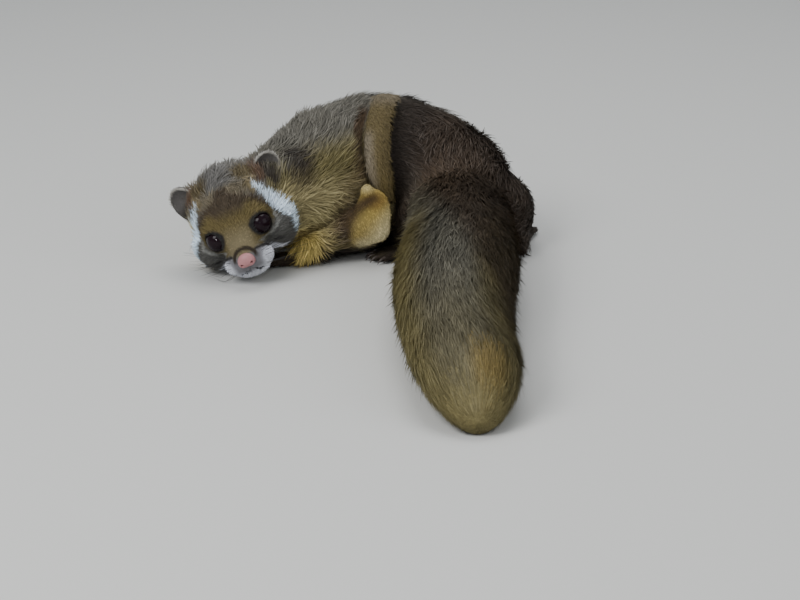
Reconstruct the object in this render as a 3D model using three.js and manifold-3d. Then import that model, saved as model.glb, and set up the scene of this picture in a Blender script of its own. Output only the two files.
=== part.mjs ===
// A Japanese giant flying squirrel curled on the floor, life size, in millimetres, +Z up.
// The origin is on the floor under the belly. The head lies to -X and looks along -Y, the back arches
// over the origin, and the rump turns forward again at +X, so that the tail lies along -Y on the floor.
import * as THREE from "three";
import { mergeVertices } from "three/addons/utils/BufferGeometryUtils.js";
import Module from "manifold-3d";

const wasm = await Module();
wasm.setup();

const at = (x, y, z) => new THREE.Vector3(x, y, z);
const { degToRad, lerp, clamp, smoothstep } = THREE.MathUtils;
const UP = at(0, 0, 1);

// Driving dimensions
const GAP = 0.3; // between pieces that touch
const HEAD_WIDTH = 76; // over the cheek fur
const HEAD_CENTRE = at(-91, -77, 36.5);
const HEAD_PITCH = 13; // degrees, nose below the horizontal
const HEAD_ROLL = -24; // degrees, crown towards -X
const HEAD_YAW = 5; // degrees, nose towards +X
const EYE_RADIUS = 8;
const EAR_HEIGHT = 26;
const EAR_WIDTH = 23;
const EAR_DEPTH = 12;
const TAIL_WIDTH = 88; // over the hair, at its widest
const TAIL_HEIGHT = 66; // over the hair, at its highest
const TAIL_CORE = 0.45; // share of the hair's reach that the dense core takes
const CORE_RINGS = 4;
const LOCK_RINGS = 9;
const LOCKS_AROUND = 8;
const TIP_LOCKS_AROUND = 7;
const LOCK_LENGTH = 76;
const LOCK_WIDTH = 34;
const LOCK_DEPTH = 9;
const LAST_RING = 0.88; // share of the tail's length
const SEED = 7;
const FINGER_LENGTH = 17;
const TOE_LENGTH = 20;
const CLAW_LENGTH = 8;
const BODY_CELL = 11.5; // facet size on the trunk
const HEAD_CELL = 6.1; // facet size on the head

// Seeded draw between -1 and 1
let drawn = SEED;
function draw() {
  drawn = (drawn * 1103515245 + 12345) % 2147483648;
  return (drawn / 2147483648) * 2 - 1;
}

// Solids: a closed geometry to manifold-3d and back
function solid(geometry) {
  const bare = new THREE.BufferGeometry().setAttribute("position", geometry.getAttribute("position"));
  if (geometry.index) bare.setIndex(geometry.index);
  const merged = mergeVertices(bare, 1e-4);
  const mesh = new wasm.Mesh({
    numProp: 3,
    vertProperties: Float32Array.from(merged.attributes.position.array),
    triVerts: Uint32Array.from(merged.index.array),
  });
  mesh.merge();
  return new wasm.Manifold(mesh);
}

function geometryOf(made) {
  const { vertProperties, numProp, numVert, triVerts } = made.getMesh();
  const points = new Float32Array(numVert * 3);
  for (let i = 0; i < numVert; i++) points.set(vertProperties.subarray(i * numProp, i * numProp + 3), i * 3);
  return new THREE.BufferGeometry()
    .setAttribute("position", new THREE.BufferAttribute(points, 3))
    .setIndex(new THREE.BufferAttribute(triVerts, 1));
}

// Joins corners that a cut leaves nearly on top of each other and drops the slivers between them. The
// first reach that leaves each edge with two faces is taken.
const WELDS = [1e-4, 0.01, 0.03, 0.07, 0.12, 0.2];
function tidied(made) {
  for (const reach of WELDS) {
    const merged = mergeVertices(geometryOf(made), reach);
    const index = merged.index.array;
    const kept = [];
    const edges = new Map();
    for (let i = 0; i < index.length; i += 3) {
      const [a, b, c] = index.subarray(i, i + 3);
      if (a === b || b === c || c === a) continue;
      kept.push(a, b, c);
      for (const edge of [`${a} ${b}`, `${b} ${c}`, `${c} ${a}`]) edges.set(edge, (edges.get(edge) ?? 0) + 1);
    }
    merged.setIndex(kept);
    if ([...edges.values()].every((count) => count === 1)) return solid(merged);
  }
  throw new Error("a solid keeps an edge with more than two faces");
}

const largest = (made) => made.decompose().reduce((a, b) => (b.volume() > a.volume() ? b : a));
const join = (solids) => wasm.Manifold.union(solids);
// Keeps what lies on the side of the plane that the normal points to, beyond half a gap
const keep = (made, point, normal, clear = GAP / 2) =>
  made.trimByPlane(normal.toArray(), normal.dot(point) + clear);
const onFloor = (made) => made.trimByPlane([0, 0, 1], 0);

// Fields: the distance to a shape, negative inside
function ball(centre, radii, turn = 0) {
  const [c, s] = [Math.cos(degToRad(turn)), Math.sin(degToRad(turn))];
  return (p) => {
    const [x, y, z] = [p.x - centre.x, p.y - centre.y, p.z - centre.z];
    const [u, v, w] = [(x * c + y * s) / radii.x, (y * c - x * s) / radii.y, z / radii.z];
    const reach = Math.hypot(u, v, w);
    const slope = Math.hypot(u / radii.x, v / radii.y, w / radii.z);
    return slope < 1e-9 ? -Math.min(radii.x, radii.y, radii.z) : (reach * (reach - 1)) / slope;
  };
}

function cone(from, to, radiusFrom, radiusTo) {
  const axis = to.clone().sub(from);
  const span = axis.lengthSq();
  return (p) => {
    const [x, y, z] = [p.x - from.x, p.y - from.y, p.z - from.z];
    const t = clamp((x * axis.x + y * axis.y + z * axis.z) / span, 0, 1);
    return Math.hypot(x - t * axis.x, y - t * axis.y, z - t * axis.z) - lerp(radiusFrom, radiusTo, t);
  };
}

// One flowing surface over several shapes; blend is the width in which they flow together
const flow = (shapes, blend) => (p) =>
  -blend * Math.log(shapes.reduce((sum, f) => sum + Math.exp(-f(p) / blend), 0));

function slope(field, p, step = 0.2) {
  const d = (axis) => {
    const [a, b] = [p.clone(), p.clone()];
    a[axis] += step;
    b[axis] -= step;
    return (field(a) - field(b)) / (2 * step);
  };
  return at(d("x"), d("y"), d("z"));
}

// The closed surface where a field crosses zero: one vertex in each cell of a grid that the surface
// passes through, set on the surface, and one quad over each grid edge that the surface crosses
function surface(field, low, high, cell) {
  const count = ["x", "y", "z"].map((a) => Math.ceil((high[a] - low[a]) / cell) + 1);
  const index = (i, j, k) => (k * count[1] + j) * count[0] + i;
  const corner = (i, j, k) => at(low.x + i * cell, low.y + j * cell, low.z + k * cell);
  const value = new Float64Array(count[0] * count[1] * count[2]);
  for (let k = 0; k < count[2]; k++)
    for (let j = 0; j < count[1]; j++)
      for (let i = 0; i < count[0]; i++) value[index(i, j, k)] = field(corner(i, j, k));
  const points = [];
  const vertexOf = new Map();
  const steps = [0, 1];
  for (let k = 0; k < count[2] - 1; k++)
    for (let j = 0; j < count[1] - 1; j++)
      for (let i = 0; i < count[0] - 1; i++) {
        const crossings = [];
        const test = (a, b) => {
          const [va, vb] = [value[index(...a)], value[index(...b)]];
          if (va < 0 !== vb < 0) crossings.push(corner(...a).lerp(corner(...b), va / (va - vb)));
        };
        for (const p of steps)
          for (const q of steps) {
            test([i, j + p, k + q], [i + 1, j + p, k + q]);
            test([i + p, j, k + q], [i + p, j + 1, k + q]);
            test([i + p, j + q, k], [i + p, j + q, k + 1]);
          }
        if (!crossings.length) continue;
        const vertex = crossings.reduce((sum, c) => sum.add(c), at(0, 0, 0)).divideScalar(crossings.length);
        for (let n = 0; n < 2; n++) {
          const g = slope(field, vertex);
          const shift = clamp(field(vertex) / Math.max(g.lengthSq(), 0.05), -cell / 3, cell / 3);
          vertex.addScaledVector(g, -shift);
        }
        vertexOf.set(index(i, j, k), points.length);
        points.push(vertex);
      }
  const faces = [];
  const quad = (cells, flipped) => {
    const [a, b, c, d] = cells.map((n) => vertexOf.get(n));
    const short = points[a].distanceTo(points[c]) < points[b].distanceTo(points[d]);
    const pair = short ? [[a, b, c], [a, c, d]] : [[a, b, d], [b, c, d]];
    for (const t of pair) faces.push(...(flipped ? t.reverse() : t));
  };
  for (let k = 1; k < count[2] - 1; k++)
    for (let j = 1; j < count[1] - 1; j++)
      for (let i = 1; i < count[0] - 1; i++) {
        const inside = value[index(i, j, k)] < 0;
        const cellsAt = (list) => list.map(([a, b, c]) => index(i + a, j + b, k + c));
        if (inside !== value[index(i + 1, j, k)] < 0)
          quad(cellsAt([[0, -1, -1], [0, 0, -1], [0, 0, 0], [0, -1, 0]]), !inside);
        if (inside !== value[index(i, j + 1, k)] < 0)
          quad(cellsAt([[-1, 0, -1], [-1, 0, 0], [0, 0, 0], [0, 0, -1]]), !inside);
        if (inside !== value[index(i, j, k + 1)] < 0)
          quad(cellsAt([[-1, -1, 0], [0, -1, 0], [0, 0, 0], [-1, 0, 0]]), !inside);
      }
  const geometry = new THREE.BufferGeometry().setFromPoints(points);
  geometry.setIndex(faces);
  return geometry;
}

// A closed tube through points, each with a half width across and a half depth along the face direction
function tube(points, across, deep, sides, face) {
  const last = points.length - 1;
  const ring = points.map((p, i) => {
    const ahead = points[Math.min(i + 1, last)].clone().sub(points[Math.max(i - 1, 0)]).normalize();
    const side = ahead.clone().cross(face).normalize();
    const out = side.clone().cross(ahead);
    return Array.from({ length: sides }, (_, n) => {
      const turn = (2 * Math.PI * n) / sides;
      const corner = p.clone().addScaledVector(side, across[i] * Math.cos(turn));
      return corner.addScaledVector(out, deep[i] * Math.sin(turn));
    });
  });
  const all = [points[0], ...ring.slice(1, last).flat(), points[last]];
  const faces = [];
  const id = (r, n) => 1 + (r - 1) * sides + (n % sides);
  for (let n = 0; n < sides; n++) {
    faces.push(0, id(1, n), id(1, n + 1));
    faces.push(all.length - 1, id(last - 1, n + 1), id(last - 1, n));
    for (let r = 1; r < last - 1; r++)
      faces.push(id(r, n), id(r + 1, n), id(r + 1, n + 1), id(r, n), id(r + 1, n + 1), id(r, n + 1));
  }
  const geometry = new THREE.BufferGeometry().setFromPoints(all);
  geometry.setIndex(faces);
  const made = solid(geometry);
  return made.volume() < 0 ? solid(flipped(geometry)) : made;
}

function flipped(geometry) {
  const copy = geometry.clone();
  copy.setIndex(Array.from(geometry.index.array).reverse());
  return copy;
}

// A curved sheet with thickness: both faces share one grid, and a rim joins them
function sheet(place, across, along, thickness) {
  const rows = [];
  for (let j = 0; j <= along; j++)
    for (let i = 0; i <= across; i++) rows.push([i / across, j / along]);
  const middle = rows.map(([u, v]) => place(u, v));
  const normals = rows.map(([u, v]) => {
    const [e, u1, v1] = [1e-3, Math.min(u, 1 - 1e-3), Math.min(v, 1 - 1e-3)];
    const du = place(u1 + e, v1).sub(place(u1, v1));
    const dv = place(u1, v1 + e).sub(place(u1, v1));
    return du.cross(dv).normalize();
  });
  const half = rows.map(([u, v]) => thickness(u, v) / 2);
  const top = middle.map((p, i) => p.clone().addScaledVector(normals[i], half[i]));
  const under = middle.map((p, i) => p.clone().addScaledVector(normals[i], -half[i]));
  const points = [...top, ...under];
  const id = (i, j) => j * (across + 1) + i;
  const shift = middle.length;
  const faces = [];
  for (let j = 0; j < along; j++)
    for (let i = 0; i < across; i++) {
      const [a, b, c, d] = [id(i, j), id(i + 1, j), id(i + 1, j + 1), id(i, j + 1)];
      faces.push(a, b, c, a, c, d, a + shift, c + shift, b + shift, a + shift, d + shift, c + shift);
    }
  const rim = (a, b) => faces.push(a, a + shift, b + shift, a, b + shift, b);
  for (let i = 0; i < across; i++) {
    rim(id(i, 0), id(i + 1, 0));
    rim(id(i + 1, along), id(i, along));
  }
  for (let j = 0; j < along; j++) {
    rim(id(0, j + 1), id(0, j));
    rim(id(across, j), id(across, j + 1));
  }
  const geometry = new THREE.BufferGeometry().setFromPoints(points);
  geometry.setIndex(faces);
  const made = solid(geometry);
  return made.volume() < 0 ? solid(flipped(geometry)) : made;
}

// The same faces moved outwards by a gap, to cut a neighbour with
function grown(geometry, field, by = GAP) {
  const copy = geometry.clone();
  const place = copy.getAttribute("position");
  const p = at(0, 0, 0);
  for (let i = 0; i < place.count; i++) {
    p.fromBufferAttribute(place, i);
    p.addScaledVector(slope(field, p).normalize(), by);
    place.setXYZ(i, p.x, p.y, p.z);
  }
  return solid(copy);
}

// Moves a point onto the surface of a field
function onSurface(field, point, lift = 0) {
  const p = point.clone();
  for (let n = 0; n < 6; n++) {
    const g = slope(field, p);
    p.addScaledVector(g, -(field(p) - lift) / Math.max(g.lengthSq(), 0.05));
  }
  return p;
}

// A solid from a field, and its grown cutter
function shaped(field, low, high, cell) {
  const skin = surface(field, low, high, cell);
  return { made: solid(skin), cutter: grown(skin, field), field };
}

const fur = (name, color, roughness = 0.95) =>
  new THREE.MeshStandardMaterial({ name, color, roughness, metalness: 0 });
const AGOUTI = fur("agouti_fur", 0x6b5f42);
const OCHRE = fur("ochre_fur", 0x8a6a2c);
const UMBER = fur("umber_fur", 0x4a3a28);
const FACE = fur("face_fur", 0x6e6248);
const MEMBRANE = fur("membrane_fur", 0x97763c);
const TAIL_FUR = fur("tail_fur", 0x6a5c2e);
const EAR_SKIN = fur("ear_skin", 0x57504a, 0.8);
const NOSE_SKIN = fur("nose_skin", 0xc08078, 0.55);
const EYE_GLASS = fur("eye_dark", 0x120a0c, 0.08);

const squirrel = new THREE.Group();
function add(name, made, material) {
  const mesh = new THREE.Mesh(geometryOf(tidied(largest(made))), material);
  mesh.name = name;
  squirrel.add(mesh);
}

// Trunk: the chest, back, loin and rump flow into one curved form with the neck
const NECK_AXIS = [at(-74, -53, 44.5), at(-36, -20, 56)];
const neckShape = cone(...NECK_AXIS, 32, 42);
const trunkField = flow(
  [
    ball(at(-27, -13, 50), at(44, 40, 54), 40),
    ball(at(2, 0, 35), at(38, 34, 40)),
    ball(at(-8, 0, 63), at(38, 36, 46)),
    ball(at(15, 6, 61), at(42, 40, 51)),
    ball(at(42, 6, 55), at(40, 40, 45)),
    ball(at(61, -4, 38), at(46, 46, 50)),
    neckShape,
    cone(at(64, -28, 36), at(66, -64, 32), 40, 30),
  ],
  5,
);
const trunk = shaped(trunkField, at(-125, -110, -25), at(150, 75, 140), BODY_CELL);

// The trunk is parted by upright cuts that fan out from inside its curl
const CURL = at(12, -58, 0);
const cutNormal = (turn) => at(-Math.sin(degToRad(turn)), Math.cos(degToRad(turn)), 0);
const fan = (made, from, to) => keep(keep(made, CURL, cutNormal(from)), CURL, cutNormal(to).negate());
const NECK_CUT = { point: at(-66, -47, 48), normal: at(0.72, 0.62, 0.3).normalize() };
const TAIL_CUT = { point: at(66, -50, 34), normal: at(0, -1, 0) };
const behindHead = (made) => keep(made, NECK_CUT.point, NECK_CUT.normal);
const beforeTail = (made) => keep(made, TAIL_CUT.point, TAIL_CUT.normal.clone().negate());
const torso = behindHead(onFloor(trunk.made));
const TORSO_CUTS = { neck: [146, 205], chest: [110, 146], loin: [64, 110], rump: [-20, 64] };
for (const [name, [from, to]] of Object.entries(TORSO_CUTS)) {
  const part = fan(torso, from, to);
  add(name, name === "rump" ? beforeTail(part) : part, name === "rump" ? UMBER : AGOUTI);
}

// Head: modelled looking along -Y, with +X to the animal's left, then turned and set in its place
const turned = (pitch, roll, yaw) =>
  new THREE.Quaternion().setFromEuler(new THREE.Euler(degToRad(pitch), degToRad(roll), degToRad(yaw), "ZXY"));
const placed = (point, turn, scale = at(1, 1, 1)) => new THREE.Matrix4().compose(point, turn, scale);
const headPose = placed(HEAD_CENTRE, turned(HEAD_PITCH, HEAD_ROLL, HEAD_YAW));
const CHEEK = at(HEAD_WIDTH * 0.29, -4, -8);
const EYE = at(16.5, -20.5, 4.5);
const EYE_AXIS = at(0.55, -0.8, 0.22).normalize();
const EAR_ROOT = at(26, 12, 15);
const NOSE = at(0, -44, -6);
const NOSE_SIZE = at(6.2, 4.6, 5.4);
const mirrored = (p) => at(-p.x, p.y, p.z);
const pair = (p, make) => [make(p), make(mirrored(p))];
const skullShapes = [
  ball(at(0, 6, 9), at(33, 34, 31)),
  cone(at(0, -12, -4), at(0, -33, -8), 21, 11.5),
  ...pair(CHEEK, (p) => ball(p, at(16, 20, 18))),
  ...pair(at(5.5, -6, -15), (p) => cone(p, at(p.x * 0.7, -30, -19), 13, 8)),
  ...pair(at(8.5, -33.5, -12.5), (p) => ball(p, at(10, 9, 8.5))),
  ...pair(at(15, -16, 11), (p) => ball(p, at(9, 9, 7))),
  cone(at(0, -12, 12), at(0, -30, -1), 13, 8.5),
];
const skullField = flow(skullShapes, 2.6);
const inHead = (shape) => (p) => shape(p.clone().applyMatrix4(headPose));
const pastNeckCut = (p) => NECK_CUT.normal.dot(p.clone().applyMatrix4(headPose).sub(NECK_CUT.point));
const headAndNeck = flow([skullField, inHead(neckShape)], 4);
const headField = (p) => Math.max(headAndNeck(p), pastNeckCut(p) - 6);
const headSkin = surface(headField, at(-60, -62, -60), at(70, 70, 60), HEAD_CELL);
const posed = (geometry) => solid(geometry.clone().applyMatrix4(headPose));
const headCutter = grown(headSkin, headField).transform(headPose.elements);

const ellipsoid = (wide, deep, tall, sides, rows) =>
  new THREE.SphereGeometry(1, sides, rows).scale(wide, deep, tall);
function lid(eye, axis) {
  const ring = new THREE.TorusGeometry(EYE_RADIUS * 0.95, 1.5, 6, 16);
  const turn = new THREE.Quaternion().setFromUnitVectors(UP, axis);
  const centre = eye.clone().addScaledVector(axis, EYE_RADIUS * 0.3);
  return posed(ring.applyMatrix4(placed(centre, turn, at(1, 0.9, 1))));
}
const eyeball = (eye, radius) => posed(new THREE.SphereGeometry(radius, 14, 10).translate(...eye));
// The mouth runs back from under the nose to below each eye
const MOUTH = [at(19, -20, -19), at(14, -30, -18), at(7, -39, -17), at(0, -42, -14.5)];
const mouthLine = [...MOUTH, ...MOUTH.slice(0, 3).reverse().map(mirrored)];
const philtrum = [at(0, -44, -9), at(0, -42.5, -12), at(0, -42, -15)];
function groove(line, radius) {
  const radii = line.map(() => radius);
  const path = line.map((p) => onSurface(skullField, p));
  return tube(path, radii, radii, 5, UP).transform(headPose.elements);
}

const eyes = { left: [EYE, EYE_AXIS], right: [mirrored(EYE), mirrored(EYE_AXIS)] };
let head = posed(headSkin);
for (const [eye, axis] of Object.values(eyes)) head = head.add(lid(eye, axis));
for (const [eye] of Object.values(eyes)) head = head.subtract(eyeball(eye, EYE_RADIUS + GAP));
head = head.subtract(groove(mouthLine, 0.9)).subtract(groove(philtrum, 0.6));
head = onFloor(keep(head, NECK_CUT.point, NECK_CUT.normal.clone().negate()));
add("head", head, FACE);
for (const [side, [eye]] of Object.entries(eyes)) add(`eye_${side}`, eyeball(eye, EYE_RADIUS), EYE_GLASS);

// Nose: a bare pad with two nostrils
const nosePad = posed(ellipsoid(...NOSE_SIZE, 12, 8).translate(...NOSE));
const NOSTRIL = at(2.7, NOSE.y - 4.4, NOSE.z - 1);
const nostrils = pair(NOSTRIL, (p) => posed(ellipsoid(1.3, 1.6, 1, 6, 4).translate(...p)));
add("nose", nosePad.subtract(join(nostrils)).subtract(headCutter), NOSE_SKIN);

// Ears: a rounded cup open to the front and the side
function ear(side) {
  const shell = ellipsoid(EAR_WIDTH * 0.5, EAR_DEPTH * 0.5, EAR_HEIGHT * 0.62, 14, 9);
  const hollow = ellipsoid(EAR_WIDTH * 0.42, EAR_DEPTH * 0.55, EAR_HEIGHT * 0.53, 12, 8);
  hollow.translate(0, -EAR_DEPTH * 0.3, 1);
  const front = new THREE.BoxGeometry(60, 20, 60).translate(0, -10 - EAR_DEPTH * 0.22, 0);
  const turn = turned(-14, 38 * side, 20 * side);
  const root = at(EAR_ROOT.x * side, EAR_ROOT.y, EAR_ROOT.z);
  const pose = placed(root.addScaledVector(UP.clone().applyQuaternion(turn), EAR_HEIGHT * 0.3), turn);
  const [outer, inner, cut] = [shell, hollow, front].map((g) => posed(g.applyMatrix4(pose)));
  return outer.subtract(inner).subtract(cut).subtract(headCutter);
}
add("ear_left", ear(1), EAR_SKIN);
add("ear_right", ear(-1), EAR_SKIN);

// Legs: each length is a tapered form, cut back by the body and by the length above it
const clear = (made, cutters) => onFloor(cutters.reduce((left, cutter) => left.subtract(cutter), made));
function segment(from, to, radiusFrom, radiusTo) {
  const span = from.distanceTo(to);
  const stations = [
    [-1, 0, 0],
    [-0.75, 0.66, 0],
    [0, 1, 0],
    [0, 1, 0.5],
    [0, 1, 1],
    [0.75, 0.66, 1],
    [1, 0, 1],
  ];
  const make = (extra) => {
    const radius = (t) => lerp(radiusFrom, radiusTo, t) + extra;
    const points = stations.map(([past, , t]) => from.clone().lerp(to, t + (past * radius(t)) / span));
    const radii = stations.map(([, share, t]) => share * radius(t));
    return tube(points, radii, radii, 10, UP);
  };
  return { made: make(0), cutter: make(GAP * 1.3) };
}
function bulge(centre, radii) {
  const make = (extra) =>
    solid(ellipsoid(radii.x + extra, radii.y + extra, radii.z + extra, 14, 9).translate(...centre));
  return { made: make(0), cutter: make(GAP * 1.3) };
}

const forelegs = {
  left: {
    shoulder: at(-16, -30, 44),
    elbow: at(-5, -46, 25),
    wrist: at(-44, -58, 13),
    knuckles: at(-62, -62, 6),
  },
  right: {
    shoulder: at(-30, 14, 44),
    elbow: at(-28, 28, 19),
    wrist: at(-68, -1, 11),
    knuckles: at(-85, -16, 6),
  },
};
const hindlegs = {
  left: {
    hip: at(38, -24, 30),
    thigh: at(22, 30, 30),
    knee: at(22, -22, 20),
    heel: at(42, -40, 8),
    knuckles: at(22, -46, 4),
  },
  right: {
    hip: at(94, -13, 27),
    thigh: at(29, 36, 30),
    knee: at(106, 18, 17),
    heel: at(109, -38, 8),
    knuckles: at(113, 4, 4),
  },
};

const legs = {};
for (const [side, at3] of Object.entries(forelegs)) {
  const upper = segment(at3.shoulder, at3.elbow, 20, 16);
  const lower = segment(at3.elbow, at3.wrist, 17, 10.5);
  legs[`foreleg_${side}`] = { upper, lower };
  add(`foreleg_${side}_upper`, clear(upper.made, [trunk.cutter, headCutter]), OCHRE);
  add(`foreleg_${side}_forearm`, clear(lower.made, [trunk.cutter, headCutter, upper.cutter]), OCHRE);
}
for (const [side, at3] of Object.entries(hindlegs)) {
  const upper = bulge(at3.hip, at3.thigh);
  const lower = segment(at3.knee, at3.heel, 14, 8);
  legs[`hindleg_${side}`] = { upper, lower };
  add(`hindleg_${side}_thigh`, beforeTail(clear(upper.made, [trunk.cutter])), UMBER);
  add(`hindleg_${side}_shank`, beforeTail(clear(lower.made, [trunk.cutter, upper.cutter])), UMBER);
}

// Hands and feet: a flat sole with toes side by side, each with a hooked claw
const HAND = { width: 14, count: 4, length: FINGER_LENGTH };
const FOOT = { width: 18, count: 5, length: TOE_LENGTH };
const SOLE = {
  along: [-0.16, -0.08, 0.4, 0.85, 1.08, 1.16],
  wide: [0, 0.36, 0.4, 0.5, 0.44, 0],
  deep: [0, 4.6, 4.6, 4.4, 3.6, 0],
};
const TOE = { along: [-0.2, 0, 0.5, 0.88, 1.02], lift: [4, 4.4, 4.8, 3.6, 3.4], wide: [0, 2.5, 2.3, 2.3, 0] };
const CLAW = {
  along: [-0.2, 0, 0.6, 1],
  lift: [4, 4.2, 3.6, 0.8],
  wide: [0, 1.1, 0.8, 0],
  deep: [0, 1.5, 1.2, 0],
};
function paw(heel, knuckles, { width, count, length }, cutters) {
  const ahead = knuckles.clone().sub(heel).setZ(0).normalize();
  const side = ahead.clone().cross(UP);
  const sole = SOLE.along.map((t) => heel.clone().lerp(knuckles, t).setZ(4.4));
  const wide = SOLE.wide.map((w) => w * width);
  const pieces = [tube(sole, wide, SOLE.deep, 8, UP)];
  for (let i = 0; i < count; i++) {
    const place = i / (count - 1) - 0.5;
    const along = ahead.clone().applyAxisAngle(UP, -place * 0.5);
    const reach = length * (1 - 1.1 * place * place);
    const root = knuckles.clone().addScaledVector(side, place * width * 0.8);
    const past = (far, z) => root.clone().addScaledVector(along, far).setZ(z);
    const toe = TOE.along.map((t, n) => past(t * reach, TOE.lift[n]));
    const claw = CLAW.along.map((t, n) => past(0.9 * reach + t * CLAW_LENGTH, CLAW.lift[n]));
    pieces.push(tube(toe, TOE.wide, TOE.wide, 5, UP), tube(claw, CLAW.wide, CLAW.deep, 4, UP));
  }
  return clear(join(pieces), cutters);
}
const legCutters = (name) => [legs[name].upper.cutter, legs[name].lower.cutter];
for (const [side, { wrist, knuckles }] of Object.entries(forelegs)) {
  const cutters = [trunk.cutter, headCutter, ...legCutters(`foreleg_${side}`)];
  add(`foreleg_${side}_hand`, paw(wrist, knuckles, HAND, cutters), UMBER);
}
for (const [side, { heel, knuckles }] of Object.entries(hindlegs)) {
  const cutters = [trunk.cutter, ...legCutters(`hindleg_${side}`)];
  add(`hindleg_${side}_foot`, paw(heel, knuckles, FOOT, cutters), UMBER);
}

// Where a ray from inside the trunk comes out of it, at a height over its surface
function outOfTrunk(from, along, lift) {
  let [inner, outer] = [20, 220];
  for (let n = 0; n < 30; n++) {
    const middle = (inner + outer) / 2;
    if (trunkField(from.clone().addScaledVector(along, middle)) < lift) inner = middle;
    else outer = middle;
  }
  return from.clone().addScaledVector(along, inner);
}

// Gliding membrane: on the near side its edge shows as a band over the back and a lobe at the elbow
const BAND = { middle: 13.5, bow: 7.5, wide: 20, low: -4, high: 84, lift: 6, thick: 8 };
const BAND_AXIS = at(0, 2, 50);
function bandAt(u, v) {
  const wide = BAND.wide * lerp(0.65, 1, smoothstep(v, 0, 0.25));
  const x = BAND.middle - BAND.bow * Math.sin(Math.PI * v) + (u - 0.5) * wide;
  const turn = degToRad(lerp(BAND.low, BAND.high, v));
  const lift = BAND.lift * Math.sin(Math.PI * lerp(0.25, 1, v)) * (1 - u * 0.5);
  return outOfTrunk(BAND_AXIS.clone().setX(x), at(0, -Math.cos(turn), Math.sin(turn)), 1 + lift);
}
const bandDepth = (u, v) => BAND.thick * (1 - 2.4 * (u - 0.5) ** 2) * lerp(1, 0.5, v * v);
const band = sheet(bandAt, 4, 12, bandDepth);
const wider = (u, v) => bandAt(lerp(-0.03, 1.03, u), lerp(-0.01, 1, v));
const bandCutter = sheet(wider, 4, 12, (u, v) => bandDepth(u, v) + 2 * GAP);
add("patagium_left_band", clear(band, [trunk.cutter]), MEMBRANE);

const LOBE = { centre: at(2, -57, 37), width: 32, height: 46, thick: 7, rim: 2 };
const lobe = sheet(
  (u, v) => {
    const [a, b] = [2 * u - 1, 2 * v - 1];
    const [x, z] = [a * Math.sqrt(1 - 0.36 * b * b), b * Math.sqrt(1 - 0.36 * a * a)];
    const wide = (LOBE.width / 2) * (1 - 0.28 * z);
    const knob = 3.5 * Math.max(0, z) * Math.exp(-8 * (x + 0.55) ** 2);
    return at(
      LOBE.centre.x + x * wide + 4 * z,
      LOBE.centre.y - 5 * (1 - x * x) + 5 * z,
      LOBE.centre.z + (z * LOBE.height) / 2 + 3 * x + knob,
    );
  },
  6,
  6,
  (u, v) => lerp(LOBE.rim, LOBE.thick, Math.min(1, 6 * u * (1 - u)) * Math.min(1, 6 * v * (1 - v))),
);
const nearCutters = [trunk.cutter, headCutter, bandCutter, ...legCutters("foreleg_left")];
add("patagium_left_lobe", clear(lobe, nearCutters), MEMBRANE);

// On the far side it is a soft fold that hangs along the flank from wrist to ankle
const SKIRT = { from: 158, to: 20, height: 19, tall: 17, deep: 8 };
const SKIRT_STEPS = 14;
const skirtSteps = Array.from({ length: SKIRT_STEPS + 1 }, (_, i) => i / SKIRT_STEPS);
const skirtLine = skirtSteps.map((t) => {
  const turn = degToRad(lerp(SKIRT.from, SKIRT.to, t));
  return outOfTrunk(CURL.clone().setZ(SKIRT.height), at(Math.cos(turn), Math.sin(turn), 0), 1);
});
const swell = skirtSteps.map((t) => Math.sin(Math.PI * lerp(0.06, 0.94, t)) ** 0.4);
const across = swell.map((w) => SKIRT.deep * w);
const upright = swell.map((w) => SKIRT.tall * w);
const skirt = tube(skirtLine, across, upright, 7, UP);
const fold = clear(skirt, [trunk.cutter, ...legCutters("foreleg_right"), ...legCutters("hindleg_right")]);
add("patagium_right_front", fan(fold, 112, 175), MEMBRANE);
add("patagium_right_middle", fan(fold, 68, 112), MEMBRANE);
add("patagium_right_rear", fan(fold, 5, 68), MEMBRANE);

// Tail: laid along the floor towards -Y, in four lengths
const TAIL_LINE = new THREE.CatmullRomCurve3([
  at(66, -28, 0),
  at(66, -95, 0),
  at(63, -160, 0),
  at(59, -225, 0),
  at(59, -290, 0),
  at(64, -350, 0),
  at(70, -410, 0),
]);
const tip = (s) => Math.sqrt(Math.max(0, 1 - clamp((s - 0.84) / 0.16, 0, 1) ** 2));
const fullness = (s) => lerp(0.9, 1, smoothstep(s, 0.1, 0.35)) * lerp(1, 0.82, smoothstep(s, 0.4, 0.85));
const halfWidth = (s) => (TAIL_WIDTH / 2) * fullness(s) * tip(s);
const halfHeight = (s) =>
  TAIL_HEIGHT * lerp(0.54, 0.5 * fullness(s), smoothstep(s, 0.05, 0.4)) * tip(s);
const tailCentre = (s) => TAIL_LINE.getPointAt(s).setZ(Math.max(halfHeight(s), 10) * 0.97);
const TAIL_LENGTH = TAIL_LINE.getLength();
const TAIL_START = (TAIL_LINE.getPoint(0).y - TAIL_CUT.point.y) / TAIL_LENGTH; // where it leaves the rump
const coreShare = (s) => lerp(0.7, TAIL_CORE, smoothstep(s, TAIL_START, TAIL_START + 0.08));

// The dense core of one length
function coreLength(from, to) {
  const steps = Array.from({ length: CORE_RINGS + 1 }, (_, i) => lerp(from, to, i / CORE_RINGS));
  const thick = (reach) => steps.map((s, i) => (i === 0 || i === CORE_RINGS ? 0 : coreShare(s) * reach(s)));
  return tube(steps.map(tailCentre), thick(halfWidth), thick(halfHeight), 8, UP);
}

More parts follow.
